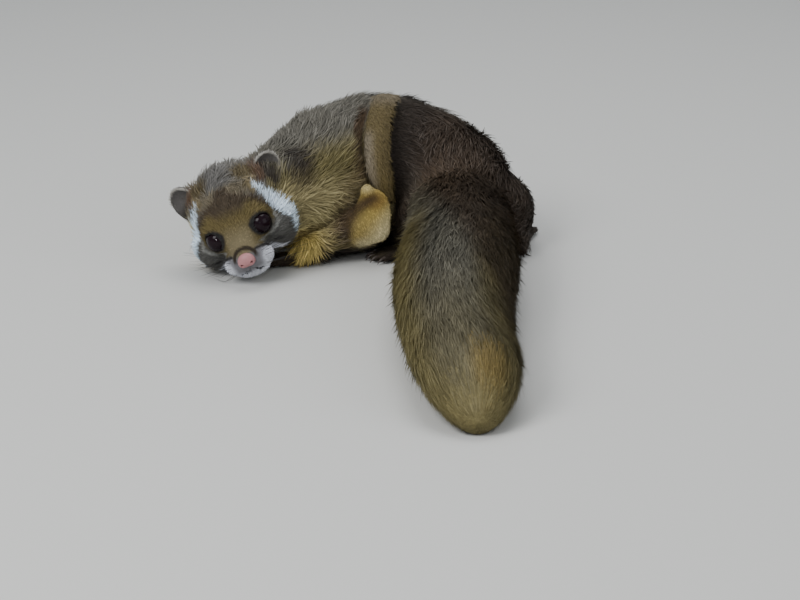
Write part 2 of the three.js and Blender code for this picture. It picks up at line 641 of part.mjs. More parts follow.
// A lock: flat and tapered, it leaves the core at a slant and bends to lie along the tail
function lock({ start, turn, length, width, reach }, extra = 0) {
  const out = (s) => {
    const side = TAIL_LINE.getTangentAt(s).cross(UP).normalize();
    return [side.multiplyScalar(Math.cos(turn) * halfWidth(s)), at(0, 0, Math.sin(turn) * halfHeight(s))];
  };
  const place = (t) => {
    const s = Math.min(start + (length * t) / TAIL_LENGTH, 0.999);
    const [side, rise] = out(s);
    const share = lerp(coreShare(s) * 0.6, reach, 1 - (1 - clamp(t, 0, 1)) ** 2.8);
    const p = tailCentre(s).addScaledVector(side, share).addScaledVector(rise, share);
    return p.setZ(Math.max(p.z, LOCK_DEPTH * 0.25));
  };
  const [side, rise] = out(start);
  const face = side.normalize().addScaledVector(rise.normalize(), Math.abs(Math.sin(turn)));
  const points = [-0.06, 0.05, 0.36, 0.72, 1 + extra / 20].map(place);
  const wide = [0, 0.36, 0.5, 0.36, 0].map((w) => w && w * width + extra);
  const deep = [0, 0.5, 0.5, 0.4, 0].map((d) => d && d * LOCK_DEPTH + extra);
  return tube(points, wide, deep, 4, face);
}

const ringStart = (ring) => lerp(TAIL_START + 0.012, LAST_RING, ring / (LOCK_RINGS - 1));
const rings = Array.from({ length: LOCK_RINGS }, (_, ring) => {
  const start = ringStart(ring);
  const count = ring < LOCK_RINGS - 3 ? LOCKS_AROUND : TIP_LOCKS_AROUND;
  return Array.from({ length: count }, (__, n) => ({
    start: start + 0.008 * draw(),
    turn: (2 * Math.PI * (n + (ring % 2) / 2 + 0.14 * draw())) / count,
    length: LOCK_LENGTH * (1 + 0.12 * draw()),
    width: LOCK_WIDTH * fullness(start) * (1 + 0.12 * draw()),
    reach: 1 + 0.04 * draw(),
  }));
});

// Each length keeps its own locks whole, and the next one gives way to them
const TAIL_LENGTHS = { tail_root: 2, tail_middle: 2, tail_far: 2, tail_tip: 3 };
let [ring, from, over] = [0, 0, []];
for (const [name, count] of Object.entries(TAIL_LENGTHS)) {
  const own = rings.slice(ring, ring + count).flat();
  const isLast = ring + count >= LOCK_RINGS;
  const to = isLast ? 0.97 : ringStart(ring + count - 0.35);
  let made = coreLength(Math.max(from - 0.03, 0), Math.min(to + 0.03, 0.97));
  if (!isLast) made = keep(made, tailCentre(to), TAIL_LINE.getTangentAt(to).negate());
  made = join([made, ...own.map((one) => lock(one))]);
  if (ring === 0) made = keep(made, TAIL_CUT.point, TAIL_CUT.normal);
  else made = keep(made, tailCentre(from), TAIL_LINE.getTangentAt(from));
  add(name, over.reduce((left, cutter) => left.subtract(cutter), onFloor(made)), TAIL_FUR);
  over = own.map((one) => lock(one, GAP * 1.4));
  [ring, from] = [ring + count, to];
}

export default squirrel;
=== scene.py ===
import math

import bmesh
import bpy
import numpy as np
from mathutils import Euler, Matrix, Vector


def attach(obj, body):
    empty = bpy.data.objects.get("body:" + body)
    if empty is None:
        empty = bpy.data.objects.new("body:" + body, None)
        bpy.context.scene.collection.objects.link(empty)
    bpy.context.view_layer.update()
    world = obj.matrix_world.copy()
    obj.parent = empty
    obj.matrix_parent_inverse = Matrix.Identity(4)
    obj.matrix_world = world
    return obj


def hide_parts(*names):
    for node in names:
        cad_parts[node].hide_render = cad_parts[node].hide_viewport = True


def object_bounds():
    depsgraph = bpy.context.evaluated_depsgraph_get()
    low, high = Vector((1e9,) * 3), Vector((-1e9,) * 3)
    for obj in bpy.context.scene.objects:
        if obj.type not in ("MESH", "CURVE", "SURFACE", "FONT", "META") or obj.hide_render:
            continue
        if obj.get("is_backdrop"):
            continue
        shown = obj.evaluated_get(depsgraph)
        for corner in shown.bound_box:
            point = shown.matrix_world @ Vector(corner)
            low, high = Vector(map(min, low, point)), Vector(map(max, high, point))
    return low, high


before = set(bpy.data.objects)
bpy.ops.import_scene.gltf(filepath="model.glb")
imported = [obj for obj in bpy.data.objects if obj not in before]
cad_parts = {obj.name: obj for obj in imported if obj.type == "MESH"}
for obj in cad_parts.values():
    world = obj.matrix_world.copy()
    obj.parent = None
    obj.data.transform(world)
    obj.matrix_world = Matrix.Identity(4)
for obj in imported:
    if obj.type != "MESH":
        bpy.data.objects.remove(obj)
cad_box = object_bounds()

MM = 0.001
SEED = 7
rng = np.random.default_rng(SEED)
UP = np.array([0.0, 0.0, 1.0])

# Places and sizes of the solids
HEAD_CENTRE = np.array([-91.0, -77.0, 36.5])
HEAD_PITCH, HEAD_ROLL, HEAD_YAW = 13, -24, 5
HEAD_REACH = 62  # no lid or groove lies farther than this from the head's centre
HEAD_WIDTH = 76
EYE = np.array([16.5, -20.5, 4.5])
EYE_AXIS = np.array([0.55, -0.8, 0.22]) / np.linalg.norm([0.55, -0.8, 0.22])
EYE_RADIUS = 8
EYE_GAP = 0.15  # between the eyeball and the skin round it
LID_RADIUS = 1.3
NOSE = np.array([0.0, -44.0, -6.0])
NOSE_SIZE = np.array([6.2, 4.6, 5.4])
EAR_ROOT = np.array([26.0, 12.0, 15.0])
EAR_HEIGHT, EAR_WIDTH, EAR_DEPTH = 26, 23, 12
EAR_HALF = (EAR_WIDTH * 0.5, EAR_DEPTH * 0.5, EAR_HEIGHT * 0.62)
EAR_PITCH, EAR_ROLL, EAR_YAW = -14, 38, 20
CURL = np.array([12.0, -58.0, 0.0])
TAIL_WIDTH, TAIL_HEIGHT, TAIL_CORE = 88, 66, 0.45
FORELEGS = {
    "left": [(-16, -30, 44), (-5, -46, 25), (-44, -58, 13), (-62, -62, 6)],
    "right": [(-30, 14, 44), (-28, 28, 19), (-68, -1, 11), (-85, -16, 6)],
}
HINDLEGS = {
    "left": [(38, -24, 30), (22, -22, 20), (42, -40, 8), (22, -46, 4)],
    "right": [(94, -13, 27), (106, 18, 17), (109, -38, 8), (113, 4, 4)],
}
THIGHS = {"left": (22, 30, 30), "right": (29, 36, 30)}
TOES = {"hand": (14, 4, 17), "foot": (18, 5, 20)}  # width, count and length
CLAW_LENGTH = 8
TAIL_POINTS = [
    (66, -28),
    (66, -95),
    (63, -160),
    (59, -225),
    (59, -290),
    (64, -350),
    (70, -410),
]
ROUND_START = 0.84  # how far along the tail its end begins to round
ROOT_HEIGHT = 0.54  # half the height of the tail's root, as a share of the tail's full height

# Sizes of the skin and the coat
SKIN_CELL = 1.5
TRUNK_COAT = 4.5  # how deep the skin lies under the tips of the coat
HEAD_COAT = 1.8
LEG_COAT = 2.2
PAW_COAT = 0.5
BAND_COAT, LOBE_COAT, FOLD_COAT = 1.2, 1, 1.5
FLESH_BLEND = 2.0  # how softly the groups of flesh run together
GROOVE_DEPTH = 0.6 + HEAD_COAT * 0.4
SKIN_SHADE = 0.6  # how bright the skin is, as a share of the coat over it
FLOOR = 0.3  # the skin ends a little above the floor
LOWEST = 0.4  # and so do hairs and whiskers
MARGIN = 14.0  # how far round its box a boxed field is worked out in full


def norm(rows):
    return np.linalg.norm(rows, axis=1)


# Fields: the distance to a shape in millimetres, negative inside, for rows of points
def ball(centre, radii, turn=0):
    c, s = math.cos(math.radians(turn)), math.sin(math.radians(turn))
    spin = np.array([[c, -s, 0], [s, c, 0], [0, 0, 1]])
    radii = np.array(radii, float)

    def field(p):
        q = (p - centre) @ spin / radii
        reach = norm(q) + 1e-9
        steepness = norm(q / radii) + 1e-12
        return reach * (reach - 1) / steepness

    return field


def cone(start, end, radius_start, radius_end, squeeze=(1, 1, 1)):
    start, end, squeeze = (np.array(v, float) for v in (start, end, squeeze))
    start, end = start * squeeze, end * squeeze
    axis = end - start
    span = axis @ axis

    def field(p):
        q = p * squeeze - start
        t = np.clip(q @ axis / span, 0, 1)
        away = norm(q - t[:, None] * axis)
        return away - (radius_start + (radius_end - radius_start) * t)

    return field


def chain(points, radii, squeeze=(1, 1, 1)):
    pairs = zip(points[:-1], points[1:], radii[:-1], radii[1:])
    return [cone(a, b, ra, rb, squeeze) for a, b, ra, rb in pairs]


def flow(fields, blend):
    def field(p):
        total = np.zeros(len(p))
        for one in fields:
            total += np.exp(np.clip(-one(p) / blend, -60, 60))
        return -blend * np.log(total)

    return field


def near(field, low, high):
    """The field inside a box, and outside it the distance to the box, which costs less to work out."""
    low, high = np.array(low, float) - MARGIN, np.array(high, float) + MARGIN

    def boxed(p):
        away = norm(np.maximum(np.maximum(low - p, p - high), 0))
        out = away + MARGIN
        inside = away <= 0
        out[inside] = field(p[inside])
        return out

    return boxed


def slope(field, p, step=0.3):
    grad = np.empty_like(p)
    for axis in range(3):
        shift = np.zeros(3)
        shift[axis] = step
        grad[:, axis] = (field(p + shift) - field(p - shift)) / (2 * step)
    return grad


def settle(field, points, lift=0.0, reach=100, times=6):
    """The points moved to where the field is lift, by steps of at most reach."""
    p = np.array(points, float)
    for _ in range(times):
        g = slope(field, p)
        shift = (field(p) - lift) / np.maximum((g * g).sum(1), 0.05)
        p -= g * np.clip(shift, -reach, reach)[:, None]
    return p


def unit(v):
    return v / np.maximum(np.linalg.norm(v, axis=-1, keepdims=True), 1e-9)


def smooth(x, low, high):
    t = np.clip((x - low) / (high - low), 0, 1)
    return t * t * (3 - 2 * t)


def fade(x, low, high):
    return 1 - smooth(x, low, high)


def mix(base, other, share):
    return base + (other - base) * share[:, None]


def rotation(pitch, roll, yaw):
    turns = [Matrix.Rotation(math.radians(a), 3, n) for a, n in ((yaw, "Z"), (pitch, "X"), (roll, "Y"))]
    return np.array(turns[0] @ turns[1] @ turns[2])


def mirrored(p, side):
    return np.array(p, float) * (side, 1, 1)


def around(points, pad=24):
    points = np.array(points, float)
    return points.min(0) - pad, points.max(0) + pad


# Trunk
NECK = cone((-74, -53, 44.5), (-36, -20, 56), 32, 42)
TRUNK = flow(
    [
        ball((-27, -13, 50), (44, 40, 54), 40),
        ball((2, 0, 35), (38, 34, 40)),
        ball((-8, 0, 63), (38, 36, 46)),
        ball((15, 6, 61), (42, 40, 51)),
        ball((42, 6, 55), (40, 40, 45)),
        ball((61, -4, 38), (46, 46, 50)),
        NECK,
        cone((64, -28, 36), (66, -64, 32), 40, 28),
    ],
    5,
)

# Head, in its own frame: +X to the animal's left, -Y ahead, +Z up
HEAD_AXES = rotation(HEAD_PITCH, HEAD_ROLL, HEAD_YAW)


def to_head(p):
    return (p - HEAD_CENTRE) @ HEAD_AXES


def from_head(q):
    return np.asarray(q, float) @ HEAD_AXES.T + HEAD_CENTRE


SKULL = flow(
    [
        ball((0, 6, 9), (33, 34, 31)),
        cone((0, -12, -4), (0, -33, -8), 21, 11.5),
        cone((0, -12, 12), (0, -30, -1), 13, 8.5),
    ]
    + [ball((x * HEAD_WIDTH * 0.29, -4, -8), (16, 20, 18)) for x in (-1, 1)]
    + [cone((x * 5.5, -6, -15), (x * 3.85, -30, -19), 13, 8) for x in (-1, 1)]
    + [ball((x * 8.5, -33.5, -12.5), (10, 9, 8.5)) for x in (-1, 1)]
    + [ball((x * 15, -16, 11), (9, 9, 7)) for x in (-1, 1)],
    2.6,
)


def ear_pose(side):
    axes = rotation(EAR_PITCH, EAR_ROLL * side, EAR_YAW * side)
    return axes, mirrored(EAR_ROOT, side) + axes @ UP * EAR_HEIGHT * 0.3


def ear_place(p, side):
    axes, centre = ear_pose(side)
    return (to_head(p) - centre) @ axes


EAR_OUTER = ball((0, 0, 0), EAR_HALF)


def ear(side):
    inner = ball((0, -EAR_DEPTH * 0.3, 1), (EAR_WIDTH * 0.41, EAR_DEPTH * 0.55, EAR_HEIGHT * 0.53))

    def field(p):
        q = ear_place(p, side)
        return np.maximum(np.maximum(EAR_OUTER(q), -inner(q)), -EAR_DEPTH * 0.22 - q[:, 1])

    middle = from_head(ear_pose(side)[1])
    return near(field, middle - 20, middle + 20)


MOUTH = [(19, -20, -19), (14, -30, -18), (7, -39, -17), (0, -42, -14.5)]
MOUTH_LINE = settle(SKULL, MOUTH + [(-x, y, z) for x, y, z in MOUTH[2::-1]], -GROOVE_DEPTH)
PHILTRUM = settle(SKULL, [(0, -44, -9), (0, -42.5, -12), (0, -42, -15)], -0.5)
GROOVES = flow(chain(MOUTH_LINE, [0.9] * 7) + chain(PHILTRUM, [0.6] * 3), 0.3)


def lid(side):
    axis = mirrored(EYE_AXIS, side)
    centre = mirrored(EYE, side) + axis * EYE_RADIUS * 0.3

    def field(q):
        along = (q - centre) @ axis
        ring = norm(q - centre - along[:, None] * axis) - EYE_RADIUS * 0.95
        return np.hypot(ring, along) - LID_RADIUS

    return field


LIDS = flow([lid(1), lid(-1)], 0.5)
EYEBALLS = flow([ball(mirrored(EYE, s), (EYE_RADIUS + EYE_GAP,) * 3) for s in (1, -1)], 0.1)
NECK_IN_HEAD = flow([lambda p: SKULL(to_head(p)), NECK], 4)


def head_coat(p):
    """How deep the skin of the head lies under the tips of its coat."""
    reach = norm(to_head(p) - NOSE)
    return np.interp(reach, [6, 16, 40, 70, 100], [0.4, 0.8, 1.6, 2.6, TRUNK_COAT])


# Legs
def toes(heel, knuckles, kind):
    width, count, length = TOES[kind]
    heel, knuckles = np.array(heel, float), np.array(knuckles, float)
    ahead = unit((knuckles - heel) * (1, 1, 0))
    side = np.cross(ahead, UP)
    found = []
    for i in range(count):
        place = i / (count - 1) - 0.5
        spread = -place * 0.5
        along = ahead * math.cos(spread) + np.cross(UP, ahead) * math.sin(spread)
        root = knuckles + side * place * width * 0.8
        found.append((root, along, length * (1 - 1.1 * place * place)))
    return found


def paw(heel, knuckles, kind):
    width = TOES[kind][0]
    low_heel, low_knuckles = np.array(heel, float), np.array(knuckles, float)
    low_heel[2] = low_knuckles[2] = 4.4
    side = np.cross(unit(low_knuckles - low_heel), UP)
    fields = []
    for place in (-1, 0, 1):
        across = side * place * width
        fields.append(cone(low_heel + across * 0.14, low_knuckles + across * 0.3, 4.0, 4.0))
    for root, along, length in toes(heel, knuckles, kind):
        steps = [(-0.2, 4, 2.6), (0.25, 4.8, 2.3), (0.6, 4.7, 2.1), (0.92, 3.3, 2.3)]
        points = [np.append((root + along * t * length)[:2], z) for t, z, _ in steps]
        fields += chain(points, [r for _, _, r in steps])
    return flow(fields, 0.9)


# Gliding membrane
def out_of_trunk(start, along, lift):
    inner, outer = np.full(len(start), 20.0), np.full(len(start), 220.0)
    for _ in range(24):
        middle = (inner + outer) / 2
        within = TRUNK(start + along * middle[:, None]) < lift
        inner, outer = np.where(within, middle, inner), np.where(within, outer, middle)
    return start + along * inner[:, None]


BAND_STEPS = np.linspace(0, 1, 16)
BAND_WIDE = 10 * (0.65 + 0.35 * smooth(BAND_STEPS, 0, 0.25))
BAND_THICK = 4.4 * (1 - 0.5 * BAND_STEPS**2)


def band_line():
    v = BAND_STEPS
    x = 13.5 - 7.5 * np.sin(np.pi * v)
    turn = np.radians(-4 + 88 * v)
    lift = 1 + 4.5 * np.sin(np.pi * (0.25 + 0.75 * v))
    start = np.stack([x, 0 * v + 2, 0 * v + 50], 1)
    along = np.stack([0 * v, -np.cos(turn), np.sin(turn)], 1)
    return out_of_trunk(start, along, lift)


def band_place(p):
    """How far each point lies along the band, from 0 to 1, across it towards +X, and from its middle."""
    nearest, place = np.full(len(p), 1e9), np.zeros(len(p))
    for k, (a, b) in enumerate(zip(BAND_POINTS[:, 1:], BAND_POINTS[1:, 1:])):
        t = np.clip((p[:, 1:] - a) @ (b - a) / ((b - a) @ (b - a)), 0, 1)
        away = norm(p[:, 1:] - a - t[:, None] * (b - a))
        place = np.where(away < nearest, (k + t) / (len(BAND_STEPS) - 1), place)
        nearest = np.minimum(away, nearest)
    return place, p[:, 0] - np.interp(place, BAND_STEPS, BAND_POINTS[:, 0]), nearest


def band_edge(place):
    return np.interp(place, BAND_STEPS, BAND_WIDE)


def band_field(p):
    place, across, away = band_place(p)
    wide, thick = band_edge(place), np.interp(place, BAND_STEPS, BAND_THICK)
    reach = np.hypot(across / wide, away / thick) + 1e-9
    return reach * (reach - 1) / (np.hypot(across / wide**2, away / thick**2) + 1e-12)


def fold_line(count=12):
    t = np.linspace(0, 1, count)
    turn = np.radians(158 - 138 * t)
    start = np.tile(CURL + (0, 0, 19), (count, 1))
    along = np.stack([np.cos(turn), np.sin(turn), 0 * t], 1)
    return out_of_trunk(start, along, 1), 7.5 * np.sin(np.pi * (0.06 + 0.88 * t)) ** 0.4


BAND_POINTS = band_line()
FOLD_POINTS, FOLD_RADII = fold_line()
FOLD_FLAT = (1, 1, 0.47)
LOBE = flow(
    [
        ball((3.5, -59, 38), (13.5, 4.4, 19.5)),
        ball((-4, -59.5, 25.5), (12.5, 4.4, 11.5)),
        ball((7, -59, 27), (9.5, 4.2, 10.5)),
        ball((-1, -59.5, 55.5), (4.6, 4, 5.2)),
    ],
    1.5,
)

# Tail
def tail_curve(points, count=600):
    """A Catmull-Rom curve through the points, with points at even lengths along it."""
    p = np.vstack([2 * points[0] - points[1], points, 2 * points[-1] - points[-2]])
    found = []
    for a, b, c, d in zip(p, p[1:], p[2:], p[3:]):
        t = np.linspace(0, 1, 60, endpoint=False)[:, None]
        square, cube = 2 * a - 5 * b + 4 * c - d, 3 * b - a - 3 * c + d
        found.append(0.5 * (2 * b + (c - a) * t + square * t**2 + cube * t**3))
    line = np.vstack(found + [points[-1:]])
    reach = np.append(0, np.cumsum(norm(np.diff(line, axis=0))))
    even = np.linspace(0, reach[-1], count)
    return np.stack([np.interp(even, reach, line[:, k]) for k in (0, 1)], 1), reach[-1]


TAIL_LINE, TAIL_LENGTH = tail_curve(np.array(TAIL_POINTS, float))
TAIL_SHARES = np.linspace(0, 1, len(TAIL_LINE))
TAIL_START = 22 / TAIL_LENGTH


def tail_point(s):
    return np.stack([np.interp(s, TAIL_SHARES, TAIL_LINE[:, k]) for k in (0, 1)], 1)


def tail_ahead(s):
    flat = unit(tail_point(np.minimum(s + 0.01, 1)) - tail_point(np.maximum(s - 0.01, 0)))
    return np.column_stack([flat, 0 * s])


def tail_tip(s):
    return np.sqrt(np.maximum(0, 1 - np.clip((s - ROUND_START) / (1 - ROUND_START), 0, 1) ** 2))


def tail_fullness(s):
    return (0.9 + 0.1 * smooth(s, 0.1, 0.35)) * (1 - 0.18 * smooth(s, 0.4, 0.85))


def tail_half_width(s, tip):
    return TAIL_WIDTH / 2 * tail_fullness(s) * tip


def tail_half_height(s, tip):
    return TAIL_HEIGHT * (ROOT_HEIGHT + (0.5 * tail_fullness(s) - ROOT_HEIGHT) * smooth(s, 0.05, 0.4)) * tip


def tail_centre(s):
    return np.column_stack([tail_point(s), np.maximum(tail_half_height(s, tail_tip(s)), 10) * 0.97])


def core_share(s):
    return 0.7 + (TAIL_CORE - 0.7) * smooth(s, TAIL_START, TAIL_START + 0.08)


core_steps = np.linspace(0, 0.96, 14)
CORE_POINTS = tail_centre(core_steps)
core_halves = [half(core_steps, tail_tip(core_steps)) for half in (tail_half_width, tail_half_height)]
CORE_RADII = core_share(core_steps) * (core_halves[0] + core_halves[1]) / 2
TAIL_ROOT = tail_centre(np.zeros(1))[0] + (0, 16, 26)


# Each group of flesh: its field under the coat, and the way its coat lies
THROAT_LIE = (1, 0.3, 0.15)
WRIST_LIE = (0.35, -0.25, -0.9)
BAND_LIE = (0.5, -0.3, -0.9)
TAIL_LIE = (0.0, -1.0, 0.0)


def all_over(row, p):
    """The same row for every point: a tone or a direction."""
    return np.tile(row, (len(p), 1))


def constant(row):
    return lambda p: all_over(row, p)


def lie_along(start, end):
    return constant(unit(np.array(end, float) - start))


def near_tail(p):
    return fade(norm(p - TAIL_ROOT), 26, 46)


def trunk_lie(p):
    """Away from the nose round the curl, up beside the band, across the throat, and onto the tail."""
    out = unit((p - CURL) * (1, 1, 0))
    back = np.stack([out[:, 1], -out[:, 0], 0 * out[:, 0]], 1)
    flank = smooth(-p[:, 2], -90, -20)[:, None]
    place, across, away = band_place(p)
    beside = fade(np.abs(across), 12, 34) * fade(away, 16, 30) * (across < 0)
    step = np.minimum((place * (len(BAND_STEPS) - 1)).astype(int), len(BAND_STEPS) - 2)
    up_the_band = unit(BAND_POINTS[step + 1] - BAND_POINTS[step])
    throat = smooth(-p[:, 2], -52, -32) * smooth(-p[:, 1], 34, 50) * fade(p[:, 0], -30, -14)
    way = mix(mix(back - UP * 0.55 * flank, THROAT_LIE, throat * 0.8), up_the_band, beside)
    return mix(way, (0.15, -1, 0.1), near_tail(p))


def foreleg_lie(p):
    under_the_throat = smooth(-p[:, 1], 20, 48) * smooth(p[:, 0], -46, -24)
    return mix(all_over(WRIST_LIE, p), THROAT_LIE, under_the_throat)


def head_lie(p):
    return (to_head(p) - NOSE) @ HEAD_AXES.T


def lobe_lie(p):
    return (p - (-3, -50, 62)) * (1, 0.3, 1)


def deeper(field, depth):
    return lambda p: field(p) + (depth(p) if callable(depth) else depth)


GROUPS = {}


def group(name, field, depth, box, lie):
    GROUPS[name] = (near(deeper(field, depth), *box), lie)


group("trunk", TRUNK, TRUNK_COAT, ((-125, -110, 0), (125, 60, 125)), trunk_lie)
group("head", NECK_IN_HEAD, head_coat, (HEAD_CENTRE - 56, HEAD_CENTRE + (86, 86, 56)), head_lie)
for side_name, sign in (("left", 1), ("right", -1)):
    GROUPS[f"ear_{side_name}"] = (ear(sign), head_lie)
    arm, hindleg = FORELEGS[side_name], HINDLEGS[side_name]
    hand_lie, thigh_lie = lie_along(arm[2], arm[3]), lie_along(hindleg[1], hindleg[2])
    foot_lie = lie_along(hindleg[2], hindleg[3])
    hand, foot = paw(arm[2], arm[3], "hand"), paw(hindleg[2], hindleg[3], "foot")
    thigh = flow([ball(hindleg[0], THIGHS[side_name])] + chain(np.array(hindleg[1:3], float), [14, 8]), 3)
    foreleg = flow(chain(np.array(arm[:3], float), [19, 16.5, 10.5]), 3)
    group(f"foreleg_{side_name}", foreleg, LEG_COAT, around(arm[:3]), foreleg_lie)
    group(f"hand_{side_name}", hand, PAW_COAT, around(arm[2:], 28), hand_lie)
    group(f"hindleg_{side_name}", thigh, LEG_COAT + 1, around(hindleg[:3], 34), thigh_lie)
    group(f"foot_{side_name}", foot, PAW_COAT, around(hindleg[2:], 30), foot_lie)
group("band", band_field, BAND_COAT, around(BAND_POINTS), constant(BAND_LIE))
group("lobe", LOBE, LOBE_COAT, ((-30, -70, 5), (25, -45, 70)), lobe_lie)
fold = flow(chain(FOLD_POINTS, FOLD_RADII, FOLD_FLAT), 1)
group("fold", fold, FOLD_COAT, around(FOLD_POINTS), lambda p: trunk_lie(p) - UP * 0.6)
tail_core = flow(chain(CORE_POINTS, CORE_RADII), 3)
group("tail", tail_core, 0, around(CORE_POINTS, 30), constant(TAIL_LIE))


def flesh(p):
    body = flow([field for field, _ in GROUPS.values()], FLESH_BLEND)(p)
    return np.maximum(body, FLOOR - p[:, 2])


def skin_field(p):
    out = flesh(p)
    face = norm(p - HEAD_CENTRE) < HEAD_REACH
    q = to_head(p[face])
    made = -np.log(np.exp(-out[face]) + np.exp(-LIDS(q)))
    made = np.maximum(made, -EYEBALLS(q))
    out[face] = np.maximum(made, -GROOVES(q))
    return out


# Skin: the surface where the field crosses zero, one vertex in each cell that it passes through
def in_chunks(field, p, size=200000):
    return np.concatenate([field(p[i : i + size]) for i in range(0, len(p), size)])


def sampled(field, low, high, cell, coarse=4):
    """Values on a grid, worked out in full only near the surface."""
    cells = np.ceil((high - low) / (cell * coarse)).astype(int)
    counts = cells * coarse + 1
    axes = [low[a] + cell * np.arange(counts[a]) for a in range(3)]
    rough_points = np.stack(np.meshgrid(*[x[::coarse] for x in axes], indexing="ij"), -1).reshape(-1, 3)
    rough = in_chunks(field, rough_points).reshape(cells + 1)
    nearest = [np.minimum((np.arange(n) + coarse // 2) // coarse, m) for n, m in zip(counts, cells)]
    value = rough[np.ix_(*nearest)]
    close = np.argwhere(np.abs(value) < cell * coarse * 1.4)
    value[tuple(close.T)] = in_chunks(field, low + cell * close)
    return value


def surface(field, low, high, cell):
    value = sampled(field, low, high, cell)
    inside = value < 0
    corners = np.array([(i, j, k) for i in (0, 1) for j in (0, 1) for k in (0, 1)])
    shape = np.array(value.shape) - 1
    count = np.zeros(shape, int)
    for i, j, k in corners:
        count += inside[i : i + shape[0], j : j + shape[1], k : k + shape[2]]
    cells = np.argwhere((count > 0) & (count < 8))
    at_corner = np.stack([value[tuple((cells + c).T)] for c in corners], 1)
    pairs = [(a, b) for a in range(8) for b in range(a + 1, 8) if abs(corners[a] - corners[b]).sum() == 1]
    total, hits = np.zeros((len(cells), 3)), np.zeros(len(cells))
    for a, b in pairs:
        va, vb = at_corner[:, a], at_corner[:, b]
        cross = (va < 0) != (vb < 0)
        t = np.where(cross, va / np.where(cross, va - vb, 1), 0)[:, None]
        total += np.where(cross[:, None], corners[a] + t * (corners[b] - corners[a]), 0)
        hits += cross
    points = low + cell * (cells + total / hits[:, None])
    number = np.full(value.shape, -1)
    number[tuple(cells.T)] = np.arange(len(cells))
    faces = []
    for axis in range(3):
        one, two = (axis + 1) % 3, (axis + 2) % 3
        step = np.eye(3, dtype=int)
        first = inside[tuple(slice(0, -1) if a == axis else slice(1, -1) for a in range(3))]
        second = inside[tuple(slice(1, None) if a == axis else slice(1, -1) for a in range(3))]
        edge = np.argwhere(first != second) + 1 - step[axis]
        shifts = [s * step[one] + t * step[two] for s, t in ((1, 1), (0, 1), (0, 0), (1, 0))]
        quad = np.stack([number[tuple((edge - shift).T)] for shift in shifts], 1)
        outwards = inside[tuple(edge.T)]
        faces.append(np.where(outwards[:, None], quad, quad[:, ::-1]))
    return points, np.vstack(faces)


def mesh_of(name, points, faces):
    """A mesh from rows of points in millimetres and faces of one size."""
    mesh = bpy.data.meshes.new(name)
    mesh.vertices.add(len(points))
    mesh.vertices.foreach_set("co", (points * MM).astype(np.float32).ravel())
    sides = faces.shape[1]
    mesh.loops.add(faces.size)
    mesh.loops.foreach_set("vertex_index", faces.astype(np.int32).ravel())
    mesh.polygons.add(len(faces))
    mesh.polygons.foreach_set("loop_start", np.arange(0, faces.size, sides, dtype=np.int32))
    mesh.update(calc_edges=True)
    mesh.validate()
    mesh.polygons.foreach_set("use_smooth", np.ones(len(mesh.polygons), bool))
    return mesh


def linked(name, data):
    made = bpy.data.objects.new(name, data)
    bpy.context.scene.collection.objects.link(made)
    return made


def placed(name, mesh, material, slot):
    piece = linked(name, mesh)
    mesh.materials.append(material)
    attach(piece, "root")
    return piece


def paint(mesh, colours):
    layer = mesh.color_attributes.new("Coat", "FLOAT_COLOR", "POINT")
    rgba = np.column_stack([colours, np.ones(len(colours))]).astype(np.float32)
    layer.data.foreach_set("color", rgba.ravel())


# Markings
def tone(red, green, blue):
    c = np.array([red, green, blue]) / 255
    return np.where(c <= 0.04045, c / 12.92, ((c + 0.055) / 1.055) ** 2.4)


NAPE = tone(92, 89, 81)
FLANK = tone(88, 82, 66)
OLIVE = tone(100, 92, 58)
NECK_BUFF = tone(150, 139, 100)
BUFF = tone(184, 172, 124)
THROAT = tone(192, 170, 98)
UMBER = tone(52, 42, 33)
DARK = tone(44, 38, 34)
# Painted shade: the brown laid in the groove beside the band, beside the lobe and along the hollow to the
# wrist
PAINTED_SHADE_BROWN = tone(66, 50, 34)
CROWN = tone(98, 96, 93)
CREAM = tone(104, 94, 72)
TAN = tone(148, 132, 96)
RUST = tone(82, 60, 42)
MOSS = tone(80, 69, 42)
MASK_BROWN = tone(66, 56, 43)
MASK_OLIVE = tone(100, 88, 54)
BRIDGE = tone(134, 122, 92)
RIM = tone(132, 132, 128)
CHEEK = tone(86, 85, 82)
LINE = tone(42, 40, 40)
WHITE = tone(222, 240, 255)
LIP = tone(236, 239, 250)
LIP_GREY = tone(138, 137, 142)
EAR_GREY = tone(114, 110, 108)
# painted highlight on the ear's upper rim
EAR_RIM_HIGHLIGHT = tone(184, 180, 172)
VELVET = tone(178, 155, 84)
VELVET_PALE = tone(230, 216, 168)
VELVET_DARK = tone(118, 82, 38)
BAND_PALE = tone(126, 116, 98)
BAND_OLIVE = tone(96, 84, 54)
TAIL_OLIVE = tone(110, 101, 66)
TAIL_GREY = tone(97, 94, 82)
TAIL_OCHRE = tone(130, 110, 56)
# brown of the painted shade on the tail, partly the rump's own brown
TAIL_BROWN = tone(60, 46, 31)


def spot(p, centre, radius, soft=0.4):
    away = norm((p - centre) / radius)
    return fade(away, 1 - soft, 1 + soft)


def stroke(p, points, widths, soft=0.4):
    """How far each point lies within a line whose half width changes from point to point."""
    points = [np.array(v, float) for v in points]
    widths = np.broadcast_to(widths, len(points))
    away = np.min([line(p) for line in chain(points, widths)], axis=0)
    return fade(away, -soft * widths.mean(), soft * widths.mean())


def layered(colour, *layers):
    """The colour with each tone laid over it in turn, by its share at every point."""
    for over, share in layers:
        colour = mix(colour, over, share)
    return colour


WRIST_SHADE = [(4, -62, 50), (-3, -62, 46), (-10, -57, 40), (-16, -58, 33), (-18, -62, 24)]
WRIST_SHADE_WIDTHS = [3, 4.5, 7, 8, 6.5]
ELBOW_SHADE_X, ELBOW_SHADE_Z = [-75, -45, -20, 10], [-6, 3, 14, 17]
RIDGE_X, RIDGE_Z = [-100, -75, -47, 0], [76, 86, 94, 106]


